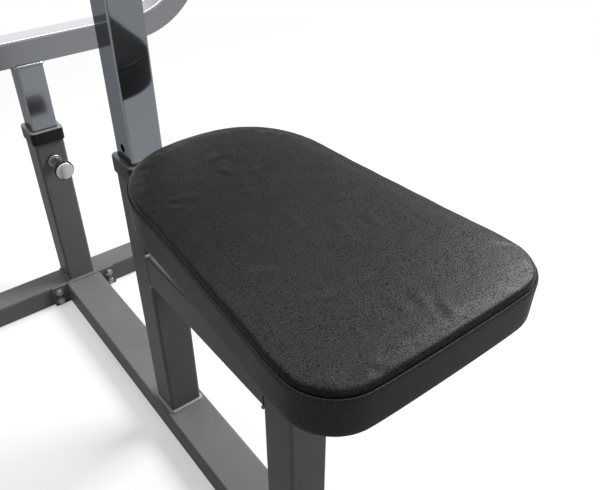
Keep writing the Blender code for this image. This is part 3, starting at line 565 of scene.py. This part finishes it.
for node in sorted(set(frame["nodes"]) - REMODELLED):
    part = finish_part(node)
    # A sleeve's faces that look up take the glossier nylon that is painted pale as painted light.
    if node.endswith("_sleeve"):
        part.data.materials.append(SLEEVE_TOP_LIT_NYLON)
        for face in part.data.polygons:
            face.material_index = 1 if face.normal.z > LIT_TOP_WHERE_UP else 0
print("hard parts finished:", len(frame["nodes"]) - len(REMODELLED))

# %% [markdown]
# ## Knob caps
#
# Each knob has a metal cap that closes its whole front. It is turned on a lathe, so its half section, drawn
# as radius and height, is spun about the knob's axis with Screw into a low dome with a rounded rim.

# %% Turned knob caps
CAP_PROFILE = (
    (0.0, 0.0035), (0.0045, 0.0034), (0.0090, 0.0030), (0.0130, 0.0023), (0.0155, 0.0016),
    (0.0168, 0.0011), (0.0174, 0.0005), (0.0176, -0.0001), (0.0174, -0.0012), (0.0155, -0.0015),
)
CAP_STEPS = 64


def turned_cap(node, face, outward):
    """A knob's metal cap, turned about its outward axis, with its back at a point of the knob's face."""
    mesh = bpy.data.meshes.new("finished_" + node)
    mesh.from_pydata([(radius, 0, height) for radius, height in CAP_PROFILE],
                     [(step, step + 1) for step in range(len(CAP_PROFILE) - 1)], [])
    cap = bpy.data.objects.new("finished_" + node, mesh)
    bpy.context.scene.collection.objects.link(cap)
    settings = {"angle": math.radians(360), "screw_offset": 0, "axis": "Z", "steps": CAP_STEPS,
                "use_merge_vertices": True, "merge_threshold": MERGE_DISTANCE, "use_normal_calculate": True}
    apply_modifier(cap, "SCREW", settings)
    turn = outward.to_track_quat("Z", "Y").to_matrix().to_4x4()
    cap.data.transform(Matrix.Translation(face) @ turn)
    smooth_faces(cap, 50)
    hand_over(cap, node)


low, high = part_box("front_pin_knob")
turned_cap("front_knob_cap", Vector(((low.x + high.x) / 2, low.y, (low.z + high.z) / 2)),
           Vector((0, -1, 0)))
low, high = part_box("middle_pin_knob")
turned_cap("middle_knob_cap", Vector((high.x, (low.y + high.y) / 2, (low.z + high.z) / 2)),
           Vector((1, 0, 0)))
print("caps turned to a radius of", max(radius for radius, height in CAP_PROFILE), "m")

# %% [markdown]
# ## Rectangular tubes
#
# The frame is cold-formed steel tube, whose corners are rolled to a radius of about twice the wall. The two
# inner posts that slide in it are drawn tighter, with corners of 3 mm. A box of the tube's size gets its
# four long edges bevelled with six segments, its ends are deleted, and Solidify gives it the wall. Round
# corners that are really round keep a reflection whole.

# %% Tube helpers
TUBE_WALL = 0.003
TUBE_CORNER = 0.005
POST_WALL = 0.0025
POST_CORNER = 0.003
CORNER_STEPS = 6
PAD_TILT = math.radians(40)


def middle_and_size(node):
    """A part's middle and its size along X, Y and Z."""
    low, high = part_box(node)
    return (low + high) / 2, high - low


def slope_top(tube, node):
    """Cuts the arm pad's post off at the pad's slope."""
    low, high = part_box(node)
    select_only(tube)
    bpy.ops.object.mode_set(mode="EDIT")
    bpy.ops.mesh.select_all(action="SELECT")
    slope = (0, math.sin(PAD_TILT), math.cos(PAD_TILT))
    bpy.ops.mesh.bisect(plane_co=(0, low.y, high.z), plane_no=slope, clear_outer=True)
    bpy.ops.object.mode_set(mode="OBJECT")


def steel_tube(node, axis, wall, corner):
    """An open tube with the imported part's size and place. Its length runs along axis, 0, 1 or 2."""
    middle, size = middle_and_size(node)
    bpy.ops.object.select_all(action="DESELECT")
    bpy.ops.mesh.primitive_cube_add(size=1, location=middle, scale=size)
    tube = bpy.context.object
    tube.name = "finished_" + node
    bpy.ops.object.transform_apply(location=True, rotation=False, scale=True)
    bpy.ops.object.mode_set(mode="EDIT")
    bpy.ops.mesh.select_mode(type="EDGE")
    bpy.ops.mesh.select_all(action="DESELECT")
    bpy.ops.object.mode_set(mode="OBJECT")
    for edge in tube.data.edges:
        start, end = [tube.data.vertices[number].co for number in edge.vertices]
        edge.select = abs((end - start)[axis]) > size[axis] / 2
    bpy.ops.object.mode_set(mode="EDIT")
    bpy.ops.mesh.bevel(offset=corner, segments=CORNER_STEPS, affect="EDGES")
    bpy.ops.mesh.select_mode(type="FACE")
    bpy.ops.mesh.select_all(action="DESELECT")
    bpy.ops.object.mode_set(mode="OBJECT")
    for face in tube.data.polygons:
        face.select = abs(face.normal[axis]) > 0.9
    bpy.ops.object.mode_set(mode="EDIT")
    bpy.ops.mesh.delete(type="FACE")
    bpy.ops.object.mode_set(mode="OBJECT")
    if node == "arm_pad_post":
        slope_top(tube, node)
    apply_modifier(tube, "SOLIDIFY", {"thickness": wall, "offset": -1.0, "use_even_offset": True})
    return tube


TUBE_AXES = {"base_beam": 1, "front_cross_tube": 0, "rear_cross_tube": 0, "front_upright": 2,
             "middle_upright": 2, "seat_upright": 2, "seat_beam": 1, "arm_pad_post": 2, "bar_rest_post": 2}

tubes = {}
for node, axis in TUBE_AXES.items():
    wall, corner = (POST_WALL, POST_CORNER) if node.endswith("post") else (TUBE_WALL, TUBE_CORNER)
    tubes[node] = steel_tube(node, axis, wall, corner)
print("tubes made:", len(tubes))

# %% [markdown]
# ## Pin holes
#
# Each sliding post has seven holes for its pull pin, 25 mm apart, and the tube round it has one. A cylinder
# is put where the drill would go and cut away with a Boolean. The arm pad's post is drilled right through.

# %% Drill the pin holes
HOLE_RADIUS = 0.0065
HOLE_PITCH = 0.025
RIGHT_THROUGH = 0.1
ONE_WALL = 0.02
ARM_PAD_HOLES = range(-3, 4)
BAR_REST_HOLES = range(-4, 3)


def drill(tube, places, axis, length):
    """Pin holes through a tube's wall, each along axis about its place."""
    turn = (0, math.radians(90), 0) if axis == "X" else (math.radians(90), 0, 0)
    for place in places:
        bpy.ops.object.select_all(action="DESELECT")
        bpy.ops.mesh.primitive_cylinder_add(vertices=32, radius=HOLE_RADIUS, depth=length, location=place,
                                            rotation=turn)
        tool = bpy.context.object
        apply_modifier(tube, "BOOLEAN", {"operation": "DIFFERENCE", "object": tool, "solver": "EXACT"})
        bpy.data.objects.remove(tool)


pin = middle_and_size("middle_pull_pin")[0]
post = middle_and_size("arm_pad_post")[0]
holes = [Vector((post.x, post.y, pin.z + step * HOLE_PITCH)) for step in ARM_PAD_HOLES]
drill(tubes["arm_pad_post"], holes, "X", RIGHT_THROUGH)
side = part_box("middle_upright")[1].x
drill(tubes["middle_upright"], [Vector((side, post.y, pin.z))], "X", ONE_WALL)
pin = middle_and_size("front_pull_pin")[0]
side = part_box("bar_rest_post")[0].y
holes = [Vector((pin.x, side, pin.z + step * HOLE_PITCH)) for step in BAR_REST_HOLES]
drill(tubes["bar_rest_post"], holes, "Y", ONE_WALL)
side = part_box("front_upright")[0].y
drill(tubes["front_upright"], [Vector((pin.x, side, pin.z))], "Y", ONE_WALL)
for node, tube in tubes.items():
    smooth_faces(tube, 30)
    hand_over(tube, node)
print("holes drilled:", len(ARM_PAD_HOLES) + len(BAR_REST_HOLES) + 2)

# %% [markdown]
# ## Bent yoke
#
# The bar rest is one square tube with two large bends. Its section starts at the middle of the bench, is
# extruded along the straight part, spun a quarter turn round the bend's centre and extruded up the arm. The
# other half is its mirror, and Solidify gives it the same wall as the frame.

# %% Yoke
YOKE_BEND = 0.155
BEND_STEPS = 24
YOKE_MERGE = 0.00005


def bent_yoke(node):
    """The bar rest's tube, open at both upper ends."""
    low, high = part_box(node)
    width = high.y - low.y
    centre_y = (low.y + high.y) / 2
    level = low.z + width / 2
    arm_x = high.x - width / 2
    bpy.ops.object.select_all(action="DESELECT")
    bpy.ops.mesh.primitive_plane_add(size=width, location=(0, 0, 0))
    yoke = bpy.context.object
    yoke.name = "finished_" + node
    bpy.ops.object.mode_set(mode="EDIT")
    bpy.ops.mesh.select_all(action="SELECT")
    bpy.ops.mesh.bevel(offset=TUBE_CORNER, segments=CORNER_STEPS, affect="VERTICES")
    bpy.ops.mesh.delete(type="ONLY_FACE")
    bpy.ops.object.mode_set(mode="OBJECT")
    yoke.data.transform(Matrix.Translation((0, centre_y, level)) @ Matrix.Rotation(math.pi / 2, 4, "Y"))
    bpy.ops.object.mode_set(mode="EDIT")
    bpy.ops.mesh.select_mode(type="VERT")
    bpy.ops.mesh.select_all(action="SELECT")
    bpy.ops.mesh.extrude_region_move(TRANSFORM_OT_translate={"value": (arm_x - YOKE_BEND, 0, 0)})
    bpy.ops.mesh.spin(steps=BEND_STEPS, angle=math.pi / 2, axis=(0, 1, 0),
                      center=(arm_x - YOKE_BEND, centre_y, level + YOKE_BEND))
    bpy.ops.mesh.extrude_region_move(TRANSFORM_OT_translate={"value": (0, 0, high.z - level - YOKE_BEND)})
    bpy.ops.mesh.select_all(action="SELECT")
    bpy.ops.mesh.remove_doubles(threshold=YOKE_MERGE)
    bpy.ops.object.mode_set(mode="OBJECT")
    apply_modifier(yoke, "MIRROR", {"use_axis": (True, False, False), "merge_threshold": 0.0001})
    select_only(yoke)
    bpy.ops.object.mode_set(mode="EDIT")
    bpy.ops.mesh.select_all(action="SELECT")
    bpy.ops.mesh.remove_doubles(threshold=YOKE_MERGE)
    bpy.ops.mesh.normals_make_consistent(inside=False)
    bpy.ops.object.mode_set(mode="OBJECT")
    apply_modifier(yoke, "SOLIDIFY", {"thickness": TUBE_WALL, "offset": -1.0})
    return yoke


yoke = bent_yoke("bar_rest_yoke")
smooth_faces(yoke, 30)
hand_over(yoke, "bar_rest_yoke")

# %% [markdown]
# ## Weld beads
#
# Every tube that stands on another is welded all round. A bead is a chain of small overlapping puddles, so
# it is a round cord with ripples. Its path is the edge of the joint, with round corners, followed in steps
# of 1.2 mm. The path becomes a curve whose thickness swells and sinks from puddle to puddle.

# %% Bead helpers
BEAD_RADIUS = 0.0048
BEAD_RIPPLE = 0.0050
BEAD_STEP = 0.0012
BEAD_THIN = 0.82
BEAD_SWELL = 0.16
BEAD_UNEVEN = 0.14
UNEVEN_PER_METRE = 70.0


def evenly_spaced(corners, count, closed=True):
    """Points at even steps along a run of straight sides."""
    sides = list(zip(corners, corners[1:] + (corners[:1] if closed else [])))
    lengths = [(end - start).length for start, end in sides]
    total = sum(lengths)
    points = []
    for step in range(count):
        left = total * step / (count if closed else count - 1)
        for number, ((start, end), length) in enumerate(zip(sides, lengths)):
            if left <= length or number == len(sides) - 1:
                points.append(start.lerp(end, min(left / length, 1.0) if length else 0))
                break
            left -= length
    return points


def weld_bead(name, corners, closed, slot, body, radius=BEAD_RADIUS):
    """A rippled cord of weld metal along a run of straight sides."""
    length = sum((b - a).length for a, b in zip(corners, corners[1:] + (corners[:1] if closed else [])))
    count = round(length / BEAD_STEP)
    curve = bpy.data.curves.new(name, "CURVE")
    curve.dimensions = "3D"
    spline = curve.splines.new("POLY")
    spline.points.add(count - 1)
    for number, (point, place) in enumerate(zip(spline.points, evenly_spaced(corners, count, closed))):
        point.co = (*place, 1.0)
        swell = abs(math.sin(math.pi * number * BEAD_STEP / BEAD_RIPPLE))
        uneven = noise.noise(place * UNEVEN_PER_METRE)
        point.radius = BEAD_THIN + BEAD_SWELL * swell + BEAD_UNEVEN * uneven
    spline.use_cyclic_u = closed
    curve.bevel_depth = radius
    curve.bevel_resolution = 3
    curve.use_fill_caps = True
    bead = bpy.data.objects.new(name, curve)
    bpy.context.scene.collection.objects.link(bead)
    select_only(bead)
    bpy.ops.object.convert(target="MESH")
    bead = bpy.context.object
    bpy.ops.object.shade_smooth()
    bead.data.materials.clear()
    # Beads at the middle upright and the seat take the paler coat, which is a painted highlight.
    bead.data.materials.append(WELD_COAT_PAINTED_HIGHLIGHT if name.startswith(("middle", "seat")) else FINISH[slot])
    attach(bead, body)
    print(name, "points:", count)


def round_the_tube(node, level):
    """Corners of the joint round a standing tube, at the foot, 0, or the head, 1, with rolled corners."""
    middle, size = middle_and_size(node)
    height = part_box(node)[level].z
    corners = []
    for sx, sy in ((1, 1), (-1, 1), (-1, -1), (1, -1)):
        centre = Vector((middle.x + sx * (size.x / 2 - TUBE_CORNER),
                         middle.y + sy * (size.y / 2 - TUBE_CORNER), height))
        for step in range(5):
            angle = math.atan2(sy, sx) - math.pi / 4 + math.pi / 2 * step / 4
            corners.append(centre + Vector((math.cos(angle), math.sin(angle), 0)) * TUBE_CORNER)
    return corners

# %% [markdown]
# ## Where the beads go
#
# Uprights are welded all round at the foot, and so are the seat's plate and the yoke on top of their tubes.
# The two beams are welded at their ends, above, and below where the beam doesn't lie on the floor. Those
# beads and the yoke's are thinner.

# %% Weld the frame
YOKE_BEAD_RADIUS = 0.0036
BEAM_BEAD_RADIUS = 0.0032
BEAD_PAST_THE_BEAM = {"seat_beam": 0.0015, "base_beam": 0.0}

for node in ("front_upright", "middle_upright", "seat_upright"):
    weld_bead(node + "_foot_weld", round_the_tube(node, 0), True, "painted_steel", "frame")
weld_bead("seat_plate_weld", round_the_tube("seat_upright", 1), True, "painted_steel", "frame")
weld_bead("yoke_weld", round_the_tube("bar_rest_post", 1), True, "satin_steel", "bar_rest",
          YOKE_BEAD_RADIUS)

for node, past in BEAD_PAST_THE_BEAM.items():
    low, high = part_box(node)
    half = (high.x - low.x) / 2 + past
    for end, y in (("rear", low.y), ("front", high.y)):
        for level, z in (("top", high.z), ("underside", low.z)):
            if z > BEAD_RADIUS:
                ends = [Vector((-half, y, z)), Vector((half, y, z))]
                weld_bead(f"{node}_{end}_{level}_weld", ends, False, "painted_steel", "frame",
                          BEAM_BEAD_RADIUS)

# %% [markdown]
# ## Cushion outlines
#
# Both cushions are built the same way, lying level with the middle of their underside at the origin. The
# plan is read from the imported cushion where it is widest, and a smooth closed curve through those few points
# gives an even run of points round the edge.

# %% Outline of a cushion
SEAM_HEIGHT = 0.045
WIDEST_HEIGHT = 0.0422
SAME_LEVEL = 0.0003
OUTLINE_STEP = 0.0042


def cushion_place(board, tilt):
    """Where a level cushion goes: the middle of the board's underside, leaned forward by the tilt."""
    middle = middle_and_size(board)[0]
    thickness = middle_and_size("seat_board")[1].z
    turn = Matrix.Rotation(-tilt, 4, "X")
    normal = turn @ Vector((0, 0, 1))
    return Matrix.Translation(middle - normal * thickness / 2) @ turn


def smooth_outline(node, place):
    """Points round the widest level of a cushion, at even steps along a smooth closed curve."""
    level = place.inverted()
    found = {}
    for vertex in frame["nodes"][node].data.vertices:
        spot = level @ vertex.co
        if abs(spot.z - WIDEST_HEIGHT) < SAME_LEVEL:
            found[(round(spot.x, 4), round(spot.y, 4))] = spot
    ring = sorted(found.values(), key=lambda spot: math.atan2(spot.y, spot.x))
    curve = bpy.data.curves.new(node + "_outline", "CURVE")
    curve.dimensions = "3D"
    spline = curve.splines.new("BEZIER")
    spline.bezier_points.add(len(ring) - 1)
    for point, spot in zip(spline.bezier_points, ring):
        point.co = (spot.x, spot.y, 0)
        point.handle_left_type = "AUTO"
        point.handle_right_type = "AUTO"
    spline.use_cyclic_u = True
    spline.resolution_u = 12
    guide = bpy.data.objects.new(node + "_outline", curve)
    bpy.context.scene.collection.objects.link(guide)
    select_only(guide)
    bpy.ops.object.convert(target="MESH")
    corners = [vertex.co.copy() for vertex in bpy.context.object.data.vertices]
    bpy.data.objects.remove(bpy.context.object)
    length = sum((b - a).length for a, b in zip(corners, corners[1:] + corners[:1]))
    print(node, "outline:", round(length, 3), "m round")
    return evenly_spaced(corners, round(length / OUTLINE_STEP))


def ring_at(outline, inset, height):
    """The outline moved in by inset, square to its own run, at a height."""
    count = len(outline)
    ring = []
    for i, point in enumerate(outline):
        along = outline[(i + 1) % count] - outline[i - 1]
        inward = Vector((-along.y, along.x, 0)).normalized()
        ring.append(Vector((point.x + inward.x * inset, point.y + inward.y * inset, height)))
    return ring


def loft_object(name, rings, closed):
    """A mesh through rings of equally many points, joined back to the first or capped at its ends."""
    bm = bmesh.new()
    layers = [[bm.verts.new(point) for point in ring] for ring in rings]
    pairs = list(zip(layers, layers[1:]))
    if closed:
        pairs.append((layers[-1], layers[0]))
    else:
        bm.faces.new(layers[0])
        bm.faces.new(layers[-1])
    for lower, upper in pairs:
        for i in range(len(lower)):
            j = (i + 1) % len(lower)
            bm.faces.new((lower[i], lower[j], upper[j], upper[i]))
    bmesh.ops.recalc_face_normals(bm, faces=bm.faces)
    mesh = bpy.data.meshes.new(name)
    bm.to_mesh(mesh)
    bm.free()
    obj = bpy.data.objects.new(name, mesh)
    bpy.context.scene.collection.objects.link(obj)
    return obj

# %% [markdown]
# ## Side band
#
# The side of the cushion is a strip of leather, pulled down over the board's edge and in at the bottom.
# Where it is sewn to the top panel it ends in a rolled lip, about 2 mm across, with a groove behind it. That
# dark groove is the line that the eye follows round the seat. The section lists how far in and how high the
# strip runs, from its hem over the side and the lip down into the groove.

# %% Side band
BAND_SECTION = (
    (0.0137, 0.0123), (0.0137, 0.0), (0.0060, -0.0003), (0.0034, 0.0001), (0.0019, 0.0014),
    (0.0013, 0.0036), (0.0010, 0.0100), (0.0008, 0.0200), (0.0004, 0.0340), (0.0001, 0.0410),
    (0.0002, 0.0427), (0.0006, 0.0441), (0.0012, 0.0449), (0.0018, 0.0450), (0.0022, 0.0445),
    (0.0024, 0.0434), (0.0026, 0.0400), (0.0137, 0.0385),
)


def side_band(name, outline):
    """The leather strip round a cushion's side, hem to lip, as one closed ring."""
    rings = [ring_at(outline, inset, height) for inset, height in BAND_SECTION]
    band = loft_object(name, rings, closed=True)
    select_only(band)
    bpy.ops.object.shade_smooth_by_angle(angle=math.radians(60))
    return band

# %% [markdown]
# ## Top panel before it is stuffed
#
# The top panel is foam under leather. It starts as a plain slab whose edge rolls over a quarter round, and
# rings that shrink towards the middle give it a low crown. It is a little too small, because it will swell.

# %% Slab of the top panel
PANEL_START = 0.0392
WALL_TOP = 0.0475
ROLL_RADIUS = 0.0048
ROLL_INSET = 0.0019
ROLL_STEPS = 6
RIM_SECTION = ((0.0300, PANEL_START), (0.0052, PANEL_START), (0.0034, PANEL_START + 0.001),
               (0.0028, 0.0425), (0.0024, 0.0450))
CROWN_RINGS = (0.96, 0.9, 0.8, 0.65, 0.5, 0.35, 0.2, 0.08)


def panel_slab(name, outline, roll, crown):
    """The top panel before it is stuffed: a closed slab with a rolled edge and a low crown."""
    section = list(RIM_SECTION)
    for step in range(ROLL_STEPS + 1):
        angle = math.pi / 2 * step / ROLL_STEPS
        inset = ROLL_INSET + ROLL_RADIUS * (1 - math.cos(angle))
        section.append((inset, WALL_TOP + (SEAM_HEIGHT + roll - WALL_TOP) * math.sin(angle)))
    rings = [ring_at(outline, inset, height) for inset, height in section]
    edge = rings[-1]
    centre = sum(edge, Vector()) / len(edge)
    for scale in CROWN_RINGS:
        height = SEAM_HEIGHT + roll + crown * (1 - scale ** 4)
        ring = []
        for point in edge:
            spot = centre + (point - centre) * scale
            ring.append(Vector((spot.x, spot.y, height)))
        rings.append(ring)
    return loft_object(name, rings, closed=False)

# %% [markdown]
# ## Stuffing
#
# A cloth simulation blows the slab up from inside while its rim stays pinned in the seam. It needs an even
# mesh, so the slab is remeshed first. The foam holds the leather back, so no point may move further than a
# cap, and a little smoothing takes the remesh's steps away.

# %% Stuff the panel
PRESSURE = 4.0
STRETCH_STIFFNESS = 40
BENDING_STIFFNESS = 2.0
SIMULATION_FRAMES = 20


def blow_up(panel, cap):
    """Runs the cloth with pressure inside, and holds every point's move under the cap."""
    before = [vertex.co.copy() for vertex in panel.data.vertices]
    cloth = panel.modifiers.new("stuffing", "CLOTH")
    cloth.settings.vertex_group_mass = "rim"
    cloth.settings.use_pressure = True
    cloth.settings.uniform_pressure_force = PRESSURE
    cloth.settings.effector_weights.gravity = 0.0
    cloth.settings.tension_stiffness = STRETCH_STIFFNESS
    cloth.settings.compression_stiffness = STRETCH_STIFFNESS
    cloth.settings.bending_stiffness = BENDING_STIFFNESS
    for number in range(1, SIMULATION_FRAMES + 1):
        bpy.context.scene.frame_set(number)
    select_only(panel)
    bpy.ops.object.modifier_apply(modifier=cloth.name)
    bpy.context.scene.frame_set(1)
    for vertex, start in zip(panel.data.vertices, before):
        move = vertex.co - start
        if move.length > cap:
            vertex.co = start + move * (cap / move.length)


def stuff(panel, voxel, cap):
    """Remeshes the slab evenly, pins its rim and blows it up."""
    apply_modifier(panel, "REMESH", {"mode": "VOXEL", "voxel_size": voxel})
    rim = panel.vertex_groups.new(name="rim")
    for vertex in panel.data.vertices:
        rim.add([vertex.index], 1.0 if vertex.co.z < WALL_TOP else 0.0, "REPLACE")
    blow_up(panel, cap)
    apply_modifier(panel, "SMOOTH", {"factor": 0.5, "iterations": 4})

# %% [markdown]
# ## Dents and creases
#
# Leather over foam is never quite flat. Broad dents of about 80 mm and smaller waves of 15 mm come from
# noise. The short soft creases are placed one by one. Each is a low ridge with a trough beside it, bowed a
# little and fading out at both ends. They are real forms in the mesh, under a millimetre deep. The table
# gives each one's place on the seat, its turn in degrees and its length.

# %% Dents and creases
CREASES = (
    (-0.080, 0.092, -23, 0.037), (-0.094, 0.079, -23, 0.018), (-0.005, 0.145, 14, 0.024),
    (-0.011, 0.111, -73, 0.023), (-0.009, 0.076, 14, 0.018), (0.016, 0.092, 25, 0.018),
    (-0.076, -0.056, -31, 0.035), (-0.058, -0.114, -31, 0.035), (0.002, -0.046, -55, 0.046),
    (-0.012, -0.012, -91, 0.027), (0.018, -0.052, -99, 0.034), (-0.016, -0.120, -58, 0.020),
    (-0.020, -0.168, -65, 0.029), (0.003, -0.171, -85, 0.033), (0.013, -0.195, -103, 0.031),
    (-0.076, -0.206, -40, 0.023), (0.008, 0.058, -136, 0.047), (-0.104, 0.026, -31, 0.029),
    (-0.063, -0.009, -76, 0.041), (0.052, -0.060, -95, 0.030),
)
CREASE_WIDTH = 0.0058
CREASE_REACH = 0.6
CREASE_BOW = 0.5
CREASE_ENDS = 4
TROUGH_DEPTH = 0.7
TROUGH_AWAY = 1.5
DENTS_PER_METRE = 13.0
WAVES_PER_METRE = Vector((60.0, 75.0, 40.0))
WAVE_SHARE = 0.35
DENT_SHARE = 0.6
SKIN_FADE = 0.004


def crease_height(spot, swapped):
    """Height of the creases at a place, as a share of their depth. Swapped lays them across the pad."""
    height = 0.0
    for x, y, turn, length in CREASES:
        if swapped:
            x, y, turn = y, x, 90 - turn
        ahead = Vector((math.cos(math.radians(turn)), math.sin(math.radians(turn))))
        away = Vector((spot.x - x, spot.y - y))
        along = away.dot(ahead) / (length * CREASE_REACH)
        across = away.cross(ahead) / CREASE_WIDTH + CREASE_BOW * along * along
        if abs(along) < 1 and abs(across) < CREASE_ENDS:
            trough = TROUGH_DEPTH * math.exp(-(across - TROUGH_AWAY) ** 2)
            height += (math.exp(-across * across) - trough) * (1 - along * along) ** 2
    return height


def wrinkle(panel, depth, swapped):
    """Dents and creases of the skin, only on the top."""
    for vertex in panel.data.vertices:
        share = min(max((vertex.co.z - SEAM_HEIGHT - SKIN_FADE) / SKIN_FADE, 0.0), 1.0)
        if share > 0:
            waves = WAVE_SHARE * noise.noise(vertex.co * WAVES_PER_METRE)
            broad = noise.noise(vertex.co * DENTS_PER_METRE) + waves
            vertex.co.z += share * depth * (DENT_SHARE * broad + crease_height(vertex.co, swapped))

# %% [markdown]
# ## The two cushions
#
# Each cushion is a band and a top panel, made level and then moved to its board. The seat is firm, so its
# top rises only a little. The arm pad is the same build at its slope of 40 degrees, fuller and larger, with
# a coarser mesh.

# %% Seat and arm pad
def stuffed_panel(name, outline, roll, crown, voxel, cap, depth, swapped):
    """The finished top panel."""
    panel = panel_slab(name, outline, roll, crown)
    stuff(panel, voxel, cap)
    apply_modifier(panel, "SUBSURF", {"levels": 1, "render_levels": 1})
    wrinkle(panel, depth, swapped)
    select_only(panel)
    bpy.ops.object.shade_smooth()
    return panel


def place_piece(piece, place, leather, body):
    """Moves a level piece to its place, with its place kept in its mesh, and sets its leather and body."""
    piece.data.transform(place)
    piece.data.materials.clear()
    piece.data.materials.append(leather)
    piece.vertex_groups.clear()
    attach(piece, body)


def dress_cushion(node, board, tilt, **panel_settings):
    """Both leather pieces of one cushion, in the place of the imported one."""
    place = cushion_place(board, tilt)
    outline = smooth_outline(node, place)
    band = side_band(node + "_band", outline)
    place_piece(band, place, BAND_LEATHER_PAINTED_PALER, body_of[node])
    panel = stuffed_panel(node + "_top", outline, **panel_settings)
    place_piece(panel, place, FINISH["black_leather"], body_of[node])
    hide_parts(node)
    print(node, "points round:", len(outline), "faces on top:", len(panel.data.polygons))


dress_cushion("seat_cushion", "seat_board", tilt=0.0, roll=0.0072, crown=0.0022, voxel=0.0032, cap=0.0009,
              depth=0.0007, swapped=False)
dress_cushion("arm_pad_cushion", "arm_pad_board", tilt=PAD_TILT, roll=0.0100, crown=0.0045, voxel=0.0046,
              cap=0.0014, depth=0.0005, swapped=True)

# %% [markdown]
# ## Sizes and the end
#
# The box round the dressed bench, which should keep the size of the imported one, is printed.

# %% Sizes and finish
low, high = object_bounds()
print("dressed box:", low, high)
